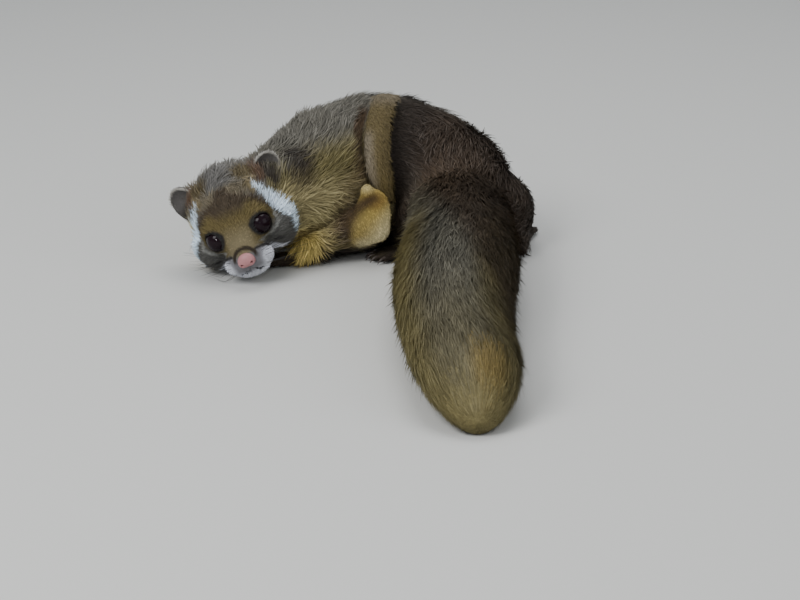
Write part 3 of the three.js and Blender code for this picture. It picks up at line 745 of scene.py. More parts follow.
def wrist_shade(p):
    """Painted shade in the hollow that runs from inside the lobe down to the wrist."""
    return stroke(p, WRIST_SHADE, WRIST_SHADE_WIDTHS, 0.7) * 0.9


def shade_beside_membrane(p, colour):
    """Painted shade on the fur beside and below the gathered membrane, out of the light: beside the lobe,
    along the hollow to the wrist, under the elbow, and a painted shadow along the floor below it.
    """
    x, _, z = p.T
    above = z - np.interp(x, ELBOW_SHADE_X, ELBOW_SHADE_Z)
    return layered(
        colour,
        (PAINTED_SHADE_BROWN, fade(LOBE(p), 5, 16) * smooth(z, 16, 28) * 0.6),
        (PAINTED_SHADE_BROWN, wrist_shade(p)),
        (UMBER, smooth(x, -40, -22) * fade(above, 4, 20) * 0.7),
        (DARK, fade(above, -3, 3)),
    )


def flank_tone(p):
    """The neck, shoulder and back by height; the near side, which the light reaches, is yellower."""
    x, y, z = p.T
    near_side = smooth(-y, -18, 22)
    colour = layered(
        all_over(FLANK, p),
        (OLIVE, near_side),
        (NAPE, smooth(z - np.interp(x, RIDGE_X, RIDGE_Z), -22, -6)),
        (NECK_BUFF, near_side * smooth(-z, -72, -54)),
        (BUFF, near_side * smooth(-z, -46, -30) * 0.9),
        (THROAT, near_side * smooth(-z, -34, -18)),
    )
    # painted light on the throat, under the head's overhang
    lit = 1 + 0.5 * spot(p, (-52, -66, 22), (10, 14, 12), 0.5)
    colour = layered(
        colour * lit[:, None],
        (UMBER, spot(p, (-48, -62, 66), (9, 12, 9), 0.5) * 0.6),
        (DARK, spot(p, (-51, -55, 75), (11, 13, 9)) * 0.9),
    )
    return shade_beside_membrane(p, colour)


def foreleg_markings(p):
    _, y, z = p.T
    near_side = smooth(-y, 20, 48)
    yellow = np.maximum(spot(p, (-49, -66, 14), (19, 26, 13), 0.5), 0.35 * smooth(-z, -34, -18))
    colour = layered(
        all_over(FLANK, p),
        (NECK_BUFF, near_side),
        (BUFF, smooth(-z, -46, -30) * 0.9 * near_side),
        (THROAT, yellow),
    )
    # painted light on the foreleg under the head's overhang, and painted shade a little darker towards the
    # floor
    lit = 1 + 0.4 * spot(p, (-50, -66, 20), (11, 20, 11), 0.5)
    dim = np.interp(z, [8, 24], [0.92, 0.98])
    return shade_beside_membrane(p, colour * lit[:, None] * dim[:, None])


def trunk_markings(p):
    """The flank's tones left of the band and umber right of it, partly the rump's own brown and partly
    painted shade, with painted shade next to the band and in the groove beside it, and painted light near
    the tail's root.
    """
    x, y, _ = p.T
    place, across, away = band_place(p)
    near_side = smooth(-y, -16, 4)
    edge = band_edge(place)
    near_rump = smooth(across, edge - 3, edge + 1)
    gap = across + edge + 4.5
    groove_shade = fade(np.abs(gap), 2.5, 5.5) * smooth(place, 0.04, 0.2) * fade(place, 0.82, 0.95)
    colour = layered(
        flank_tone(p),
        # umber right of the band and towards the back: partly the rump's own brown, partly painted shade
        (UMBER, near_side * near_rump + (1 - near_side) * smooth(x, 6, 40) * 0.8),
        # painted shade on the rump next to the band, where the body turns away from the light
        (DARK, near_side * near_rump * fade(across, 14, 46) * 0.7),
        # painted shade in the groove under the band's edge
        (PAINTED_SHADE_BROWN, groove_shade * (away < 22)),
        (tail_markings(p), smooth(-y, 28, 60) * smooth(x, 20, 45) * 0.8),
    )
    # painted light near the tail's root, against the shadow between rump and tail
    return colour * (1 + 0.3 * near_tail(p))[:, None]


# Lines and edges of the face, in the head's frame and on its left side
BROW_X, BROW_Z = [0, 5.5, 9, 13.3, 19.3, 23.1, 27, 31], [36, 33, 30.5, 29, 25, 20.5, 13, 4]
FADE_X, FADE_START, FADE_SPAN = [0, 9, 15, 24], [9, 5, 2, 1.5], [11, 9, 5, 5]
STRIPE = [(20, -6, 28), (23, -7, 24.4), (26, -7.5, 19), (29.6, -7, 11.5)]
STRIPE += [(33, -6, 5), (36, -6.5, -2), (37, -7, -10), (36, -9.5, -15)]
STRIPE_WIDTHS = [1.2, 2.2, 3.4, 5.2, 6.2, 6.0, 4.6, 2.6]
EYE_RIM = [(27.4, -13, 8), (29.1, -18.3, -0.5), (21.4, -23.7, -4.3), (15, -27.4, -4.6), (10, -33, -2.5)]
CHEEK_LINE = [(9.5, -39.5, -2.5), (16, -31.6, -7.5), (21.5, -24, -11), (29, -18.5, -12.5)]
LIP_EDGE = [(13, -38, -12), (17, -31, -13.5), (17, -22, -17), (21, -17.6, -20), (25, -15, -21.5)]
NOSE_RING = 8.4


def head_markings(p):
    """Crown, mask, cheeks and lips, then the white stripe and dark lines. m folds both sides onto one."""
    q = to_head(p)
    m = np.column_stack([np.abs(q[:, 0]), q[:, 1], q[:, 2]])
    x, y, z = m.T
    behind = np.maximum(smooth(y - 0.25 * z, 2, 20), smooth(y, -8, 2) * smooth(x, 25, 31))
    below = np.interp(x, BROW_X, BROW_Z) - z
    faded = (below - np.interp(x, FADE_X, FADE_START)) / np.interp(x, FADE_X, FADE_SPAN)
    mask = layered(
        all_over(MASK_OLIVE, p),
        (MASK_BROWN, fade(faded, 0, 1)),
        (BRIDGE, smooth(-z, -18, -4) * fade(x, 7, 14)),
    )
    front = fade(y, -9, -3)
    ring = fade(np.abs(norm(q - NOSE) - NOSE_RING), 0.8, 2.0)
    return layered(
        all_over(CROWN, p),
        (flank_tone(p), behind),
        (RUST, spot(m, (24.5, 8, 29), (7, 11, 8)) * 0.95),
        (MOSS, spot(m, (15, 2, 33), (8, 9, 7)) * 0.9),
        (CREAM, spot(m, (8, -12, 31), (11, 5, 6), 0.5) * 0.8),
        (CREAM, spot(m, (20, -8, 28), (6, 5.5, 6))),
        (TAN, spot(m, (20.5, -6, 28), 4) * 0.45),
        (mask, smooth(below, -0.6, 1.2) * front),
        (CHEEK, spot(m, (29, -15, -8), (14, 15, 12), 0.3)),
        (CHEEK, smooth(-z, 2, 8) * front * fade(-y, 30, 36)),
        (LIP_GREY, smooth(-z, 1, 5) * smooth(-y, 33, 38)),
        (LIP, spot(m, (15.5, -36, -14), (7, 8, 7.5))),
        (LIP, stroke(m, LIP_EDGE, [4, 3.5, 4, 3.5, 2.5]) * 0.9),
        (LIP, spot(m, (6, -34, -23), (13, 13, 8))),
        # painted shade under the jaw, where it lies near the floor
        (UMBER, smooth(-z, 24, 29) * 0.7),
        (RIM, stroke(m, EYE_RIM, 1.3) * 0.8),
        (LINE, stroke(m, CHEEK_LINE, [1.0, 1.7, 1.5, 1.0])),
        (DARK, spot(m, (32, 10, 20), (6, 8, 9), 0.35)),
        (WHITE, stroke(m, STRIPE, STRIPE_WIDTHS, 0.3)),
        (LINE, spot(m, EYE + (-0.7, -1, 1.2), 9.4, 0.1)),
        (LINE, stroke(m, [(15, -24, 6), (11, -27.5, 9.5)], [3, 1.3])),
        (MASK_BROWN * 0.7, ring * smooth(z, -9, -5)),
        (LINE, stroke(m, MOUTH_LINE[:4], 0.8) * 0.5),
    )


TAIL_SHADE_S, TAIL_SHADE_SIDE = [0, 0.12, 0.63, 1], [-0.8, -0.55, 0.65, 0.9]
OCHRE_STROKE = [(68, -352, 34), (76, -374, 40), (80, -400, 34)]


def tail_markings(p):
    """By s, the share of the tail's length, and side, which is 1 at the edge towards +X and -1 opposite."""
    s = np.interp(-p[:, 1], -TAIL_LINE[:, 1], TAIL_SHARES)
    side = (p[:, 0] - np.interp(s, TAIL_SHARES, TAIL_LINE[:, 0])) / (TAIL_WIDTH / 2)
    grey = fade(np.abs(side + 0.1), 0.25, 0.7) * smooth(p[:, 2], 15, 45)
    shade = smooth(side - np.interp(s, TAIL_SHADE_S, TAIL_SHADE_SIDE), -0.3, 0.25)
    colour = layered(
        all_over(TAIL_OLIVE, p),
        (TAIL_GREY, grey * (1 - smooth(s, 0.5, 0.85) * 0.45)),
        (TAIL_GREY, fade(s, 0.12, 0.3) * 0.9),
        (TAIL_OCHRE, stroke(p, OCHRE_STROKE, [8, 12, 10], 0.6) * 0.65),
        # painted shade on the side towards +X, away from the light, partly the rump's own brown carried
        # onto the root
        (TAIL_BROWN, shade * (0.97 - 0.37 * s)),
        # painted shade along the +X edge
        (UMBER, smooth(side, 0.75, 1) * smooth(s, 0.5, 0.8) * fade(s, 0.93, 1) * 0.6),
    )
    # painted light on the side towards -X, which faces the light, most at the root
    lit = 0.9 * smooth(-side, 0.35, 0.95) + 0.6 * smooth(-side, -0.1, 0.5) * fade(s, 0.08, 0.3)
    return colour * (1 + lit)[:, None]


def ear_markings(p):
    """Grey, with painted shade at the foot of the cup and a painted highlight along the upper part of the
    outer edge.
    """
    on_left = to_head(p)[:, 0] > 0
    colour = all_over(CHEEK * 0.9, p)
    for sign, own in ((1, on_left), (-1, ~on_left)):
        x, y, z = ear_place(p[own], sign).T
        inside = smooth(-EAR_OUTER(np.column_stack([x, y, z])), 0.5, 1.4)
        edge = smooth(np.hypot(x / EAR_HALF[0], z / EAR_HALF[2]), 0.86, 0.95) * smooth(-y, 0, 1.2)
        colour[own] = layered(
            colour[own],
            (EAR_GREY, inside * smooth(z, -5, 5)),
            # painted shade in the hollow at the foot of the cup
            (DARK, inside * fade(z, -6, 6)),
            # painted highlight along the upper rim
            (EAR_RIM_HIGHLIGHT, edge * smooth(z - x * sign, -4, 6)),
        )
    return colour


def band_markings(p):
    place, across, _ = band_place(p)
    left = fade(across, -7, 1) * smooth(place, 0.05, 0.2) * fade(place, 0.5, 0.65)
    return layered(
        all_over(BAND_OLIVE, p),
        (MOSS, smooth(across, 0, 9) * 0.7),
        (BAND_PALE, left),
        (BAND_PALE, smooth(place, 0.78, 0.95) * 0.7),
    )


def lobe_markings(p):
    x, _, z = p.T
    return layered(
        all_over(VELVET, p),
        (VELVET_PALE, smooth(x - z * 0.8, -28, -4)),
        # painted shade in the pit under the nub
        (VELVET_DARK, spot(p, (5, -61, 48), (9, 8, 6), 0.6) * 0.6),
        (VELVET_PALE, smooth(-z, -23, -15) * smooth(x, -14, -4)),
        # painted shade along the hollow to the wrist
        (PAINTED_SHADE_BROWN, wrist_shade(p)),
        (VELVET_PALE, spot(p, (-1, -49, 57), (7, 13, 6)) * 0.8),
    )


MARKINGS = {
    "trunk": trunk_markings,
    "head": head_markings,
    "ear": ear_markings,
    "foreleg": foreleg_markings,
    "hand": constant(UMBER),
    "hindleg": constant(UMBER),
    "foot": constant(UMBER * 0.8),
    "band": band_markings,
    "lobe": lobe_markings,
    # the fold goes umber towards the back: partly its own brown, partly painted shade
    "fold": lambda p: mix(all_over(FLANK, p), UMBER, smooth(p[:, 0], 30, 80)),
    "tail": tail_markings,
}


def shares(p, blend=2.5):
    """How much of each group there is at each point."""
    values = np.stack([field(p) for field, _ in GROUPS.values()], 1)
    weight = np.exp(-(values - values.min(1, keepdims=True)) / blend)
    return weight / weight.sum(1, keepdims=True)


def blended(p, share, value):
    """The groups' values at each point, weighed by their shares."""
    total = np.zeros_like(p)
    for k, name in enumerate(GROUPS):
        rows = share[:, k] > 0.01
        total[rows] += share[rows, k : k + 1] * value(name, p[rows])
    return total


def marked(p, share):
    return blended(p, share, lambda name, q: MARKINGS[name.split("_")[0]](q))


def lies(p, share):
    return blended(p, share, lambda name, q: unit(GROUPS[name][1](q)))


# Materials
def set_sockets(node, **values):
    """Sets the sockets of these names, with _ for a space."""
    for socket, value in values.items():
        node.inputs[socket.replace("_", " ")].default_value = value
    return node


def shader(name, roughness, **values):
    material = bpy.data.materials.new(name)
    material.use_nodes = True
    set_sockets(material.node_tree.nodes["Principled BSDF"], Roughness=roughness, **values)
    return material


def coat_material(name, roughness, grain, depth):
    """Colour from the painted markings, broken up by a fine grain that also roughens the surface."""
    material = shader(name, roughness, Specular_IOR_Level=0.25)
    new, link = material.node_tree.nodes.new, material.node_tree.links.new
    principled = material.node_tree.nodes["Principled BSDF"]
    colour = new("ShaderNodeVertexColor")
    colour.layer_name = "Coat"
    noise = set_sockets(new("ShaderNodeTexNoise"), Scale=grain, Detail=3)
    ramp = set_sockets(new("ShaderNodeMapRange"), To_Min=0.75, To_Max=1.25)
    blend = new("ShaderNodeVectorMath")
    blend.operation = "SCALE"
    bump = set_sockets(new("ShaderNodeBump"), Strength=depth, Distance=0.0004)
    link(new("ShaderNodeTexCoord").outputs["Object"], noise.inputs["Vector"])
    link(noise.outputs["Fac"], ramp.inputs["Value"])
    link(colour.outputs["Color"], blend.inputs[0])
    link(ramp.outputs["Result"], blend.inputs["Scale"])
    link(blend.outputs["Vector"], principled.inputs["Base Color"])
    link(noise.outputs["Fac"], bump.inputs["Height"])
    link(bump.outputs["Normal"], principled.inputs["Normal"])
    return material


SKIN = coat_material("skin_under_coat", 0.85, 900, 0.25)
FUR = coat_material("coat_of_tufts", 0.75, 500, 0.1)

SKIN_LOW, SKIN_HIGH = np.array([-142.0, -414.0, -2.0]), np.array([130.0, 52.0, 118.0])
skin_points, skin_faces = surface(skin_field, SKIN_LOW, SKIN_HIGH, SKIN_CELL)
skin_points = settle(skin_field, skin_points, reach=SKIN_CELL / 3, times=2)
skin_share = shares(skin_points)
skin_mesh = mesh_of("skin", skin_points, skin_faces)
paint(skin_mesh, marked(skin_points, skin_share) * SKIN_SHADE)
skin = placed("skin", skin_mesh, SKIN, "agouti_fur")
flesh_nodes = [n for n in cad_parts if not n.startswith("eye") and n != "nose"]
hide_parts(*flesh_nodes)

# Coat: flat tapered tufts, each a closed blade of three sides, rooted in the skin
SINK = 0.6  # how far under the skin a tuft is rooted
SHOWN = 0.55  # how far along a tuft it shows most, so its markings are those of that place
TICKED = 0.35  # the share of hairs with a pale tip
PATCH = 0.003  # a blade's side on the unwrap
ROUNDING = 0.55  # how round a blade is shaded across
SCATTER = 0.14  # and how far its shading turns by chance


def drawn(count):
    """Normal draws, none past two deviations."""
    return rng.normal(0, 1, count).clip(-2, 2)


def shaded(base, light, dark, bright, pale_tip, plain):
    """Colours at the root, the middle and the tip, which is brighter and paler on the ticked hairs."""
    ticked = (rng.random(len(base)) < TICKED)[:, None]
    tip = np.where(ticked, base * bright + pale_tip, base * plain)
    return base * dark * light, base * 0.95 * light, tip * light


def blade_ring(middle, side, out, half):
    """Three vertices round a point of each blade: its two edges and its back."""
    half = half[:, None]
    return [middle - side * half, middle + side * half, middle + out * half * 0.6]


def blades(root, out, ahead, side, length, width, rise, rings):
    """Vertices of the blades. rise is how steeply each leaves the skin, in radians."""
    reach = root - out * SINK
    rows = [reach]
    for k, t in enumerate(np.linspace(0, 1, rings + 2)[1:]):
        angle = (rise * (1 - t) ** 1.2)[:, None]
        reach = reach + (length / (rings + 1))[:, None] * (ahead * np.cos(angle) + out * np.sin(angle))
        if k < rings:
            rows += blade_ring(reach, side, out, width * 0.5 * (1 - 0.55 * k / rings))
    return np.stack(rows + [reach], 1)


def blade_faces(rings):
    ring = [[1 + 3 * k + i for i in range(3)] for k in range(rings)]
    tip = 3 * rings + 1
    faces = []
    for i, j in ((0, 1), (1, 2), (2, 0)):
        faces += [(0, ring[0][i], ring[0][j]), (tip, ring[-1][j], ring[-1][i])]
        for a, b in zip(ring, ring[1:]):
            faces += [(a[j], a[i], b[j]), (b[j], a[i], b[i])]
    return np.array(faces)


def blade_layout(rings):
    """Each vertex of a blade: how far along it lies, and its place on the blade's patch of the unwrap."""
    along = [0.0] + [k / (rings + 1) for k in range(1, rings + 1) for _ in range(3)] + [1.0]
    across = [0.5] + [0.0, 1.0, 0.5] * rings + [0.5]
    return np.array(along), np.array(across)


def unwrapped(roots, axis):
    """Places of the roots on an unwrap of the skin: the turn round an axis and the way along it."""
    axis = unit(np.array(axis, float))
    first = unit(np.cross(axis, (0.3, 0.2, 0.93)))
    q = roots - roots.mean(0)
    turn = np.arctan2(q @ np.cross(axis, first), q @ first) / (2 * np.pi) + 0.5
    along = q @ axis
    along = (along - along.min()) / (np.ptp(along) + 1e-9)
    return 0.004 + 0.99 * np.column_stack([turn, along])


def coat_piece(name, slot, verts, rings, colours, roots, axis, out, side):
    """One coat piece: verts is blades by vertices, and colours by root, middle and tip. Its blades are
    shaded as parts of one soft surface, each only a little rounded across."""
    verts[:, :, 2] = np.maximum(verts[:, :, 2], LOWEST)
    count, size, _ = verts.shape
    faces = (np.arange(count)[:, None, None] * size + blade_faces(rings)[None]).reshape(-1, 3)
    mesh = mesh_of(name, verts.reshape(-1, 3), faces)
    along, across = blade_layout(rings)
    dark, middle, pale = colours
    low_part = np.clip(along * 2, 0, 1)[None, :, None]
    high_part = np.clip(along * 2 - 1, 0, 1)[None, :, None]
    shade = dark[:, None] + (middle - dark)[:, None] * low_part + (pale - middle)[:, None] * high_part
    paint(mesh, shade.reshape(-1, 3))
    patch = np.column_stack([across, along]) * PATCH
    uv = (unwrapped(roots, axis)[:, None] + patch[None]).reshape(-1, 2)
    layer = mesh.uv_layers.new(name="OFBake")
    layer.data.foreach_set("uv", uv[faces.ravel()].astype(np.float32).ravel())
    lean = (across - 0.5) * 2 * ROUNDING * (along > 0) * (along < 1)
    facing = out + rng.normal(0, SCATTER, out.shape)
    normals = unit((facing[:, None] + side[:, None] * lean[None, :, None]).reshape(-1, 3))
    mesh.normals_split_custom_set_from_vertices(normals.astype(np.float32))
    return placed(name, mesh, FUR, slot)


FUR_SIZES = {  # length, width and tufts to a square millimetre
    "trunk": (14, 0.78, 1.4),
    "ear": (2.4, 0.5, 2.6),
    "foreleg": (13, 0.75, 1.3),
    "hand": (3.5, 0.6, 2.2),
    "hindleg": (10, 1.0, 0.9),
    "foot": (3.5, 0.6, 2.2),
    "band": (4.5, 0.6, 1.9),
    "lobe": (2.6, 0.5, 3.2),
    "fold": (10, 1.0, 0.9),
}


def fur_sizes(p, name):
    """Length, width and density of the tufts at each place."""
    kind = name.split("_")[0]
    if kind == "head":
        reach = norm(to_head(p) - NOSE)
        return (
            np.interp(reach, [5, 12, 30, 44, 58, 90], [0.9, 2.0, 4.2, 6.5, 12, 15]),
            np.interp(reach, [5, 30, 60, 90], [0.35, 0.5, 0.75, 0.9]),
            np.interp(reach, [5, 30, 60, 90], [4.4, 3.0, 1.15, 0.9]),
        )
    length, width, density = (np.full(len(p), v, float) for v in FUR_SIZES[kind])
    if kind == "trunk":
        length += 4 * near_tail(p)
        density -= 0.25 * smooth(p[:, 0], 20, 50)
    if kind in ("trunk", "foreleg"):
        place, across, away = band_place(p)
        beyond = np.abs(across) - band_edge(place) + np.maximum(away - 14, 0)
        short = np.minimum(smooth(beyond, 1, 16), smooth(LOBE(p), 1, 12))
        length *= 0.3 + 0.7 * short
        width *= 0.7 + 0.3 * short
    return length, width, density


# The skin's triangles: their places, areas and groups, and those that stay bare or nearly so
triangles = np.vstack([skin_faces[:, [0, 1, 2]], skin_faces[:, [0, 2, 3]]])
corners = skin_points[triangles]
areas = norm(np.cross(corners[:, 1] - corners[:, 0], corners[:, 2] - corners[:, 0])) / 2
middles = corners.mean(1)
skin_out = unit(slope(skin_field, skin_points))
tri_out = unit(skin_out[triangles].mean(1))
group_names = np.array(list(GROUPS))
tri_group = group_names[skin_share[triangles].mean(1).argmax(1)]
head_places = to_head(middles)
bare = (middles[:, 2] < 0.8) | (norm((head_places - NOSE) / (NOSE_SIZE + 0.5)) < 1)
for side in (1, -1):
    bare |= norm(head_places - mirrored(EYE, side)) < EYE_RADIUS + 1.2
underneath = (tri_out[:, 2] < -0.5) & (middles[:, 2] < 12)

WAVE_LENGTHS = np.array([18, 24, 31, 40, 52, 66])[:, None]
waves = rng.normal(0, 1, (6, 3))
waves *= 2 * np.pi / WAVE_LENGTHS / np.linalg.norm(waves, axis=1, keepdims=True)
turns = rng.uniform(0, 2 * np.pi, (6, 3))


def swirl(p):
    """A gentle wander of direction, alike for neighbouring tufts, so that they part and close in clumps."""
    return sum(np.sin((p @ wave)[:, None] + turn) for wave, turn in zip(waves, turns)) / 2.4


def by_length(length, reach, ends):
    return np.interp(length, reach, ends)[:, None]


def coat_over(name, slot, rows, groups_in, axis, rings, rise):
    """Tufts over these triangles of the skin, where they are of these groups."""
    density = np.zeros(len(middles))
    for group_name in groups_in:
        own = rows & (tri_group == group_name)
        density[own] = fur_sizes(middles[own], group_name)[2]
    density[bare] = 0
    density[underneath] *= 0.3
    weight = np.cumsum(areas * density)
    count = int(weight[-1])
    picked = np.searchsorted(weight, (np.arange(count) + rng.random(count)) / count * weight[-1])
    picked = np.minimum(picked, len(middles) - 1)
    a, b = rng.random((2, count))
    a, b = np.where(a + b > 1, (1 - a, 1 - b), (a, b))
    bary = np.column_stack([1 - a - b, a, b])[:, :, None]
    root = (corners[picked] * bary).sum(1)
    out = unit((skin_out[triangles[picked]] * bary).sum(1))
    share = shares(root)
    length, width = np.zeros(count), np.zeros(count)
    for group_name in groups_in:
        own = tri_group[picked] == group_name
        length[own], width[own], _ = fur_sizes(root[own], group_name)
    fluff = by_length(length, [4, 14], [0.3, 1])
    loose = 1 - 0.6 * near_tail(root)[:, None]
    way = lies(root, share) + rng.normal(0, 0.2, (count, 3)) + 0.45 * fluff * loose * swirl(root)
    way = unit(way - out * (way * out).sum(1, keepdims=True))
    side = unit(np.cross(way, out))
    length *= 1 + 0.25 * drawn(count)
    width *= 1 + 0.2 * drawn(count)
    angle = np.radians(rise - 14 * near_tail(root) + 14 * drawn(count))
    verts = blades(root, out, way, side, length, width, angle, rings)
    base = marked(root + way * length[:, None] * SHOWN, share)
    light = 1 + by_length(length, [3, 8], [0.06, 0.13]) * drawn(count)[:, None]
    dark, bright = (by_length(length, [3, 10], ends) for ends in ([0.92, 0.5], [1.12, 1.85]))
    colours = shaded(base, light, dark, bright, by_length(length, [3, 10], [0.005, 0.045]), 1.1)
    coat_piece(name, slot, verts, rings, colours, root, axis, out, side)


trunk_turn = np.degrees(np.arctan2(middles[:, 1] - CURL[1], middles[:, 0] - CURL[0]))
trunk_turn = np.where(trunk_turn < -60, trunk_turn + 360, trunk_turn)
from_nose = norm(head_places - NOSE)
everywhere = np.ones(len(middles), bool)
FACE_REACH = 42


def of_both(*parts):
    return [f"{part}_{side}" for part in parts for side in ("left", "right")]


def between(low_turn, high_turn):
    """The triangles between two turns round the curl, in degrees."""
    return (trunk_turn >= low_turn) & (trunk_turn < high_turn)


COATS = [  # name, slot, triangles, groups, axis of the unwrap, rings and rise in degrees
    ("face", "face_fur", from_nose < FACE_REACH, ["head"], -HEAD_AXES[:, 1], 1, 38),
    ("crown", "face_fur", from_nose >= FACE_REACH, ["head"], -HEAD_AXES[:, 1], 2, 50),
    ("ears", "ear_skin", everywhere, of_both("ear"), (1, 0, 0), 1, 20),
    ("neck", "agouti_fur", between(146, 360), ["trunk"], (0.7, 0.7, 0), 2, 44),
    ("chest", "agouti_fur", between(110, 146), ["trunk"], (1, 0.5, 0), 2, 38),
    ("loin", "agouti_fur", between(64, 110), ["trunk"], (1, 0, 0), 2, 38),
    ("rump", "umber_fur", between(-90, 64), ["trunk"], (0.5, -1, 0), 2, 31),
    ("forelegs", "ochre_fur", everywhere, of_both("foreleg", "hand"), (1, 0.3, 0), 2, 40),
    ("hindlegs", "umber_fur", everywhere, of_both("hindleg", "foot"), (1, 0, 0), 1, 38),
    ("membrane", "membrane_fur", everywhere, ["band", "lobe", "fold"], (0, 0, 1), 1, 38),
]
for name, *rest in COATS:
    coat_over(f"coat_{name}", *rest)

# The tail's long hair leaves the core at a slant and bends to lie along the tail. Over the rounded end it
# follows the curve and crosses a little past the middle
ROUND_ARC = 78  # length along the surface from where the end begins to round to its middle
TAIL_HAIRS = 15800  # in each piece
TAIL_HAIR_WIDTH = 0.85
TAIL_PIECES = {"root": (0.0, 0.24), "middle": (0.24, 0.48), "far": (0.48, 0.72), "tip": (0.72, 0.99)}


def clump_drift(start, turn):
    """Neighbouring hairs lean the same way round the tail."""
    return np.sin(start * 61 + turn * 3) + np.sin(start * 97 - turn * 5 + 1)


def tail_hair(name, low_share, high_share):
    """The hair rooted between two shares of the tail's length."""
    count = TAIL_HAIRS
    start = rng.uniform(low_share, high_share, count)
    turn = rng.uniform(0, 2 * np.pi, count)
    length = (30 + 24 * smooth(start, 0, 0.22)) * (1 + 0.2 * drawn(count))
    length *= 1 - 0.45 * smooth(start, 0.85, 1)
    reach = 1 - 0.14 * rng.random(count) ** 1.2
    stray = 0.12 * (rng.random(count) < 0.12) * rng.random(count)
    past = 0.5 * np.pi + 0.3 * rng.random(count)
    drift = 0.09 * rng.normal(0, 1, count) + 0.08 * clump_drift(start, turn)
    width = TAIL_HAIR_WIDTH * (1 + 0.25 * drawn(count))
    points = []
    for t in (0, 0.5, 1):
        s = start + length * t / TAIL_LENGTH
        bend = np.minimum(np.maximum(s - ROUND_START, 0) * TAIL_LENGTH / ROUND_ARC * 0.5 * np.pi, past)
        s = np.where(bend > 0, ROUND_START + (1 - ROUND_START) * np.sin(bend), s)
        share = reach * core_share(s) * 0.8
        share = share + (reach - share) * (1 - (1 - t) ** 2.4) + stray * t**2
        angle, tip = turn + drift * t, np.cos(bend)
        spread = np.cross(tail_ahead(s), UP) * (np.cos(angle) * tail_half_width(s, tip) * share)[:, None]
        spread = spread + UP * (np.sin(angle) * tail_half_height(s, tip) * share)[:, None]
        points.append(tail_centre(s) + spread)
    root, middle, end = points
    ahead = unit(end - root)
    out = middle - tail_centre(np.minimum(start + 0.4 * length / TAIL_LENGTH, 0.9))
    out = unit(out - ahead * (out * ahead).sum(1, keepdims=True) * 0.8)
    across = unit(np.cross(ahead, out))
    verts = np.stack([root, *blade_ring(middle, across, out, width * 0.5), end], 1)
    base = tail_markings(middle + (end - middle) * 0.4)
    clumps = swirl(end * (2, 0.7, 2))[:, 0]
    light = (1 + 0.1 * clumps + 0.12 * drawn(count))[:, None]
    colours = shaded(base, light, 0.75, 1.4, 0.015, 1)
    coat_piece(name, "tail_fur", verts, 1, colours, root, (0, 1, 0), out, across)


for name, span in TAIL_PIECES.items():
    tail_hair(f"coat_tail_{name}", *span)


# Eyes, nose, claws and whiskers
def plain(name, roughness, colour, **values):
    return shader(name, roughness, Base_Color=(*colour, 1), **values)


EYE_GLASS = plain("eye_glass", 0.03, (0.011, 0.005, 0.008), Specular_IOR_Level=0.14)
NOSE_SKIN = plain("nose_pad", 0.5, tone(172, 120, 122), Specular_IOR_Level=0.4)
CLAW_HORN = plain("claw_horn", 0.4, tone(60, 50, 44))
WHISKER = plain("whisker", 0.5, (0.01, 0.009, 0.008))
FLOOR_PAINT = plain("pale_floor", 0.8, (0.62, 0.62, 0.6))


def eye(side_name, sign):
    mesh = bpy.data.meshes.new(f"eyeball_{side_name}")
    made = bmesh.new()
    bmesh.ops.create_uvsphere(made, u_segments=48, v_segments=32, radius=EYE_RADIUS * MM)
    for face in made.faces:
        face.smooth = True
    made.to_mesh(mesh)
    made.free()
    centre = from_head(mirrored(EYE, sign))
    mesh.transform(Matrix.Translation(centre * MM))
    piece = placed(f"eyeball_{side_name}", mesh, EYE_GLASS, "eye_dark")
    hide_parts(f"eye_{side_name}")


def nose():
    """The pad with its two wings, both nostrils and the cleft."""
    wings = [ball(NOSE + (x, -1, -1.5), (3.6, 3.6, 3.4)) for x in (3, -3)]
    pad = flow([ball(NOSE, NOSE_SIZE)] + wings, 1.0)
    holes = flow([cone((s * 3, -49.5, -8), (s * 4.6, -45, -6.2), 1.0, 0.7) for s in (1, -1)], 0.3)
    cleft = cone((0, -49.6, -7), (0, -48, -12), 0.5, 0.7)

    def field(q):
        return np.maximum(np.maximum(pad(q) + 0.6, -holes(q)), -cleft(q))

    points, faces = surface(field, NOSE - 9, NOSE + 9, 0.4)
    points = from_head(settle(field, points, reach=0.13, times=2))
    piece = placed("nose_pad", mesh_of("nose_pad", points, faces), NOSE_SKIN, "nose_skin")
    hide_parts("nose")


def tubes(lines, radii, sides=6):
    """Round tubes through lines of points, open at both ends, in one list."""
    lines = np.array(lines, float)
    ahead = unit(np.gradient(lines, axis=1))
    one = unit(np.cross(ahead, (0.1, 0.2, 0.97)))
    two = np.cross(ahead, one)
    angles = (2 * np.pi * np.arange(sides) / sides)[:, None]
    spokes = one[:, :, None] * np.cos(angles) + two[:, :, None] * np.sin(angles)
    points = lines[:, :, None] + np.array(radii)[:, None, None] * spokes
    number = np.arange(points.size // 3).reshape(points.shape[:3])
    turned = np.roll(number, -1, axis=2)
    faces = np.stack([number[:, :-1], turned[:, :-1], turned[:, 1:], number[:, 1:]], -1)
    return points.reshape(-1, 3), faces.reshape(-1, 4)


def claws():
    arc = [(0, 4.0), (0.25, 4.6), (0.5, 4.3), (0.75, 3.0), (1, 0.6)]  # share of the length, and height
    lines = []
    for legs_of, kind in ((FORELEGS, "hand"), (HINDLEGS, "foot")):
        for leg_points in legs_of.values():
            for root, along, length in toes(leg_points[2], leg_points[3], kind):
                base = root + along * 0.86 * length
                lines.append([np.append((base + along * CLAW_LENGTH * t)[:2], z) for t, z in arc])
    points, faces = tubes(lines, [1.3, 1.25, 1.05, 0.7, 0.12])
    placed("claws", mesh_of("claws", points, faces), CLAW_HORN, "claw_horn")


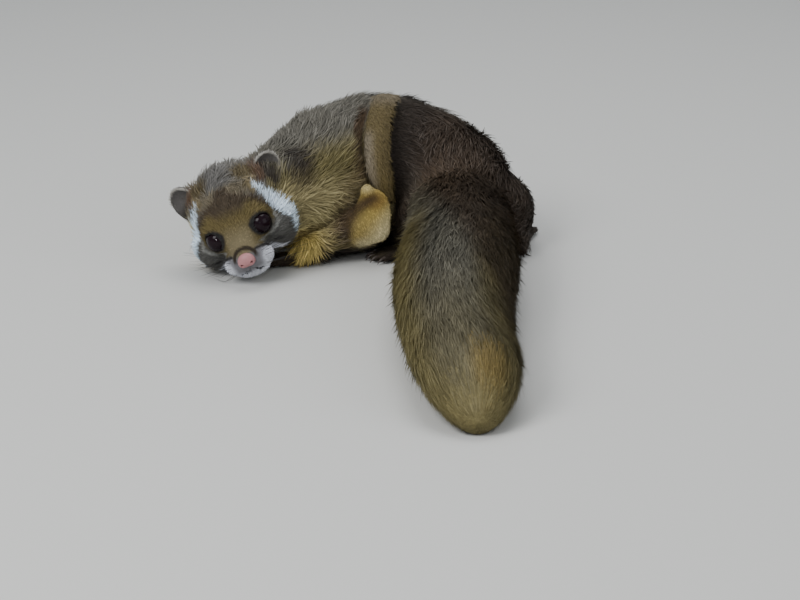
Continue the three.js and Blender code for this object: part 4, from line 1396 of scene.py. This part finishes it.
def whiskers():
    steps = (0, 0.33, 0.66, 1)
    lines = []
    for side in (1, -1):
        for row in range(3):
            for k in range(5):
                q = np.array([side * (9 + 1.8 * k), -38 + 2.6 * k, -8 - 3 * row])
                root = settle(SKULL, [q], -1.2)[0]
                way = unit(np.array([side * 1.0, 0.25 + 0.12 * k, 0.25 - 0.3 * row + 0.06 * rng.normal()]))
                reach = 26 + 4 * k + 3 * rng.random()
                droop = [np.array([0, 0.25, -0.18]) * reach * t * t for t in steps]
                lines.append([from_head(root + way * reach * t + d) for t, d in zip(steps, droop)])
    points, faces = tubes(lines, [0.16, 0.14, 0.1, 0.03], 4)
    points[:, 2] = np.maximum(points[:, 2], LOWEST)
    placed("whiskers", mesh_of("whiskers", points, faces), WHISKER, "agouti_fur")


eye("left", 1)
eye("right", -1)
nose()
claws()
whiskers()

# Floor, light and camera
floor_mesh = bpy.data.meshes.new("floor")
floor_mesh.from_pydata([(-6, -6, 0), (6, -6, 0), (6, 8, 0), (-6, 8, 0)], [], [(0, 1, 2, 3)])
floor = linked("floor", floor_mesh)
floor_mesh.materials.append(FLOOR_PAINT)
floor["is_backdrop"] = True

LIT = Vector((0.0, -0.1, 0.05))
LIGHTS = {  # place, size and power
    "key": ((-0.9, -1.1, 1.3), 0.9, 22),
    "fill": ((1.2, -0.9, 0.8), 1.2, 6),
    "top": ((0.1, 0.4, 1.6), 1.0, 12),
    "front_left": ((-0.5, -1.75, 0.75), 0.035, 2.4),
    "front_right": ((-0.1, -1.85, 0.75), 0.035, 2.2),
}
for name, (place, size, power) in LIGHTS.items():
    light = bpy.data.lights.new(name, "AREA")
    light.size = size
    light.energy = power
    lamp = linked(name, light)
    lamp.location = place
    lamp.rotation_euler = (LIT - Vector(place)).to_track_quat("-Z", "Y").to_euler()
world = bpy.data.worlds.new("studio")
world.use_nodes = True
set_sockets(world.node_tree.nodes["Background"], Color=(0.8, 0.85, 0.9, 1), Strength=0.42)
bpy.context.scene.world = world

VIEW_TARGET = np.array([0.023, -0.095, -0.016])
VIEW_ELEVATION = math.radians(18)
VIEW_DISTANCE = 1.8
FOCAL_PIXELS = 2520
IMAGE_WIDTH = 800
SENSOR_WIDTH = 36
camera_data = bpy.data.cameras.new("camera")
camera_data.sensor_width = SENSOR_WIDTH
camera_data.lens = SENSOR_WIDTH * FOCAL_PIXELS / IMAGE_WIDTH
camera = linked("camera", camera_data)
back = np.array([0, -math.cos(VIEW_ELEVATION), math.sin(VIEW_ELEVATION)])
camera.location = VIEW_TARGET + VIEW_DISTANCE * back
camera.rotation_euler = Euler((math.pi / 2 - VIEW_ELEVATION, 0, 0))
bpy.context.scene.camera = camera

boxes = {"cad": cad_box, "visual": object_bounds()}
{name: [list(corner) for corner in box] for name, box in boxes.items()}
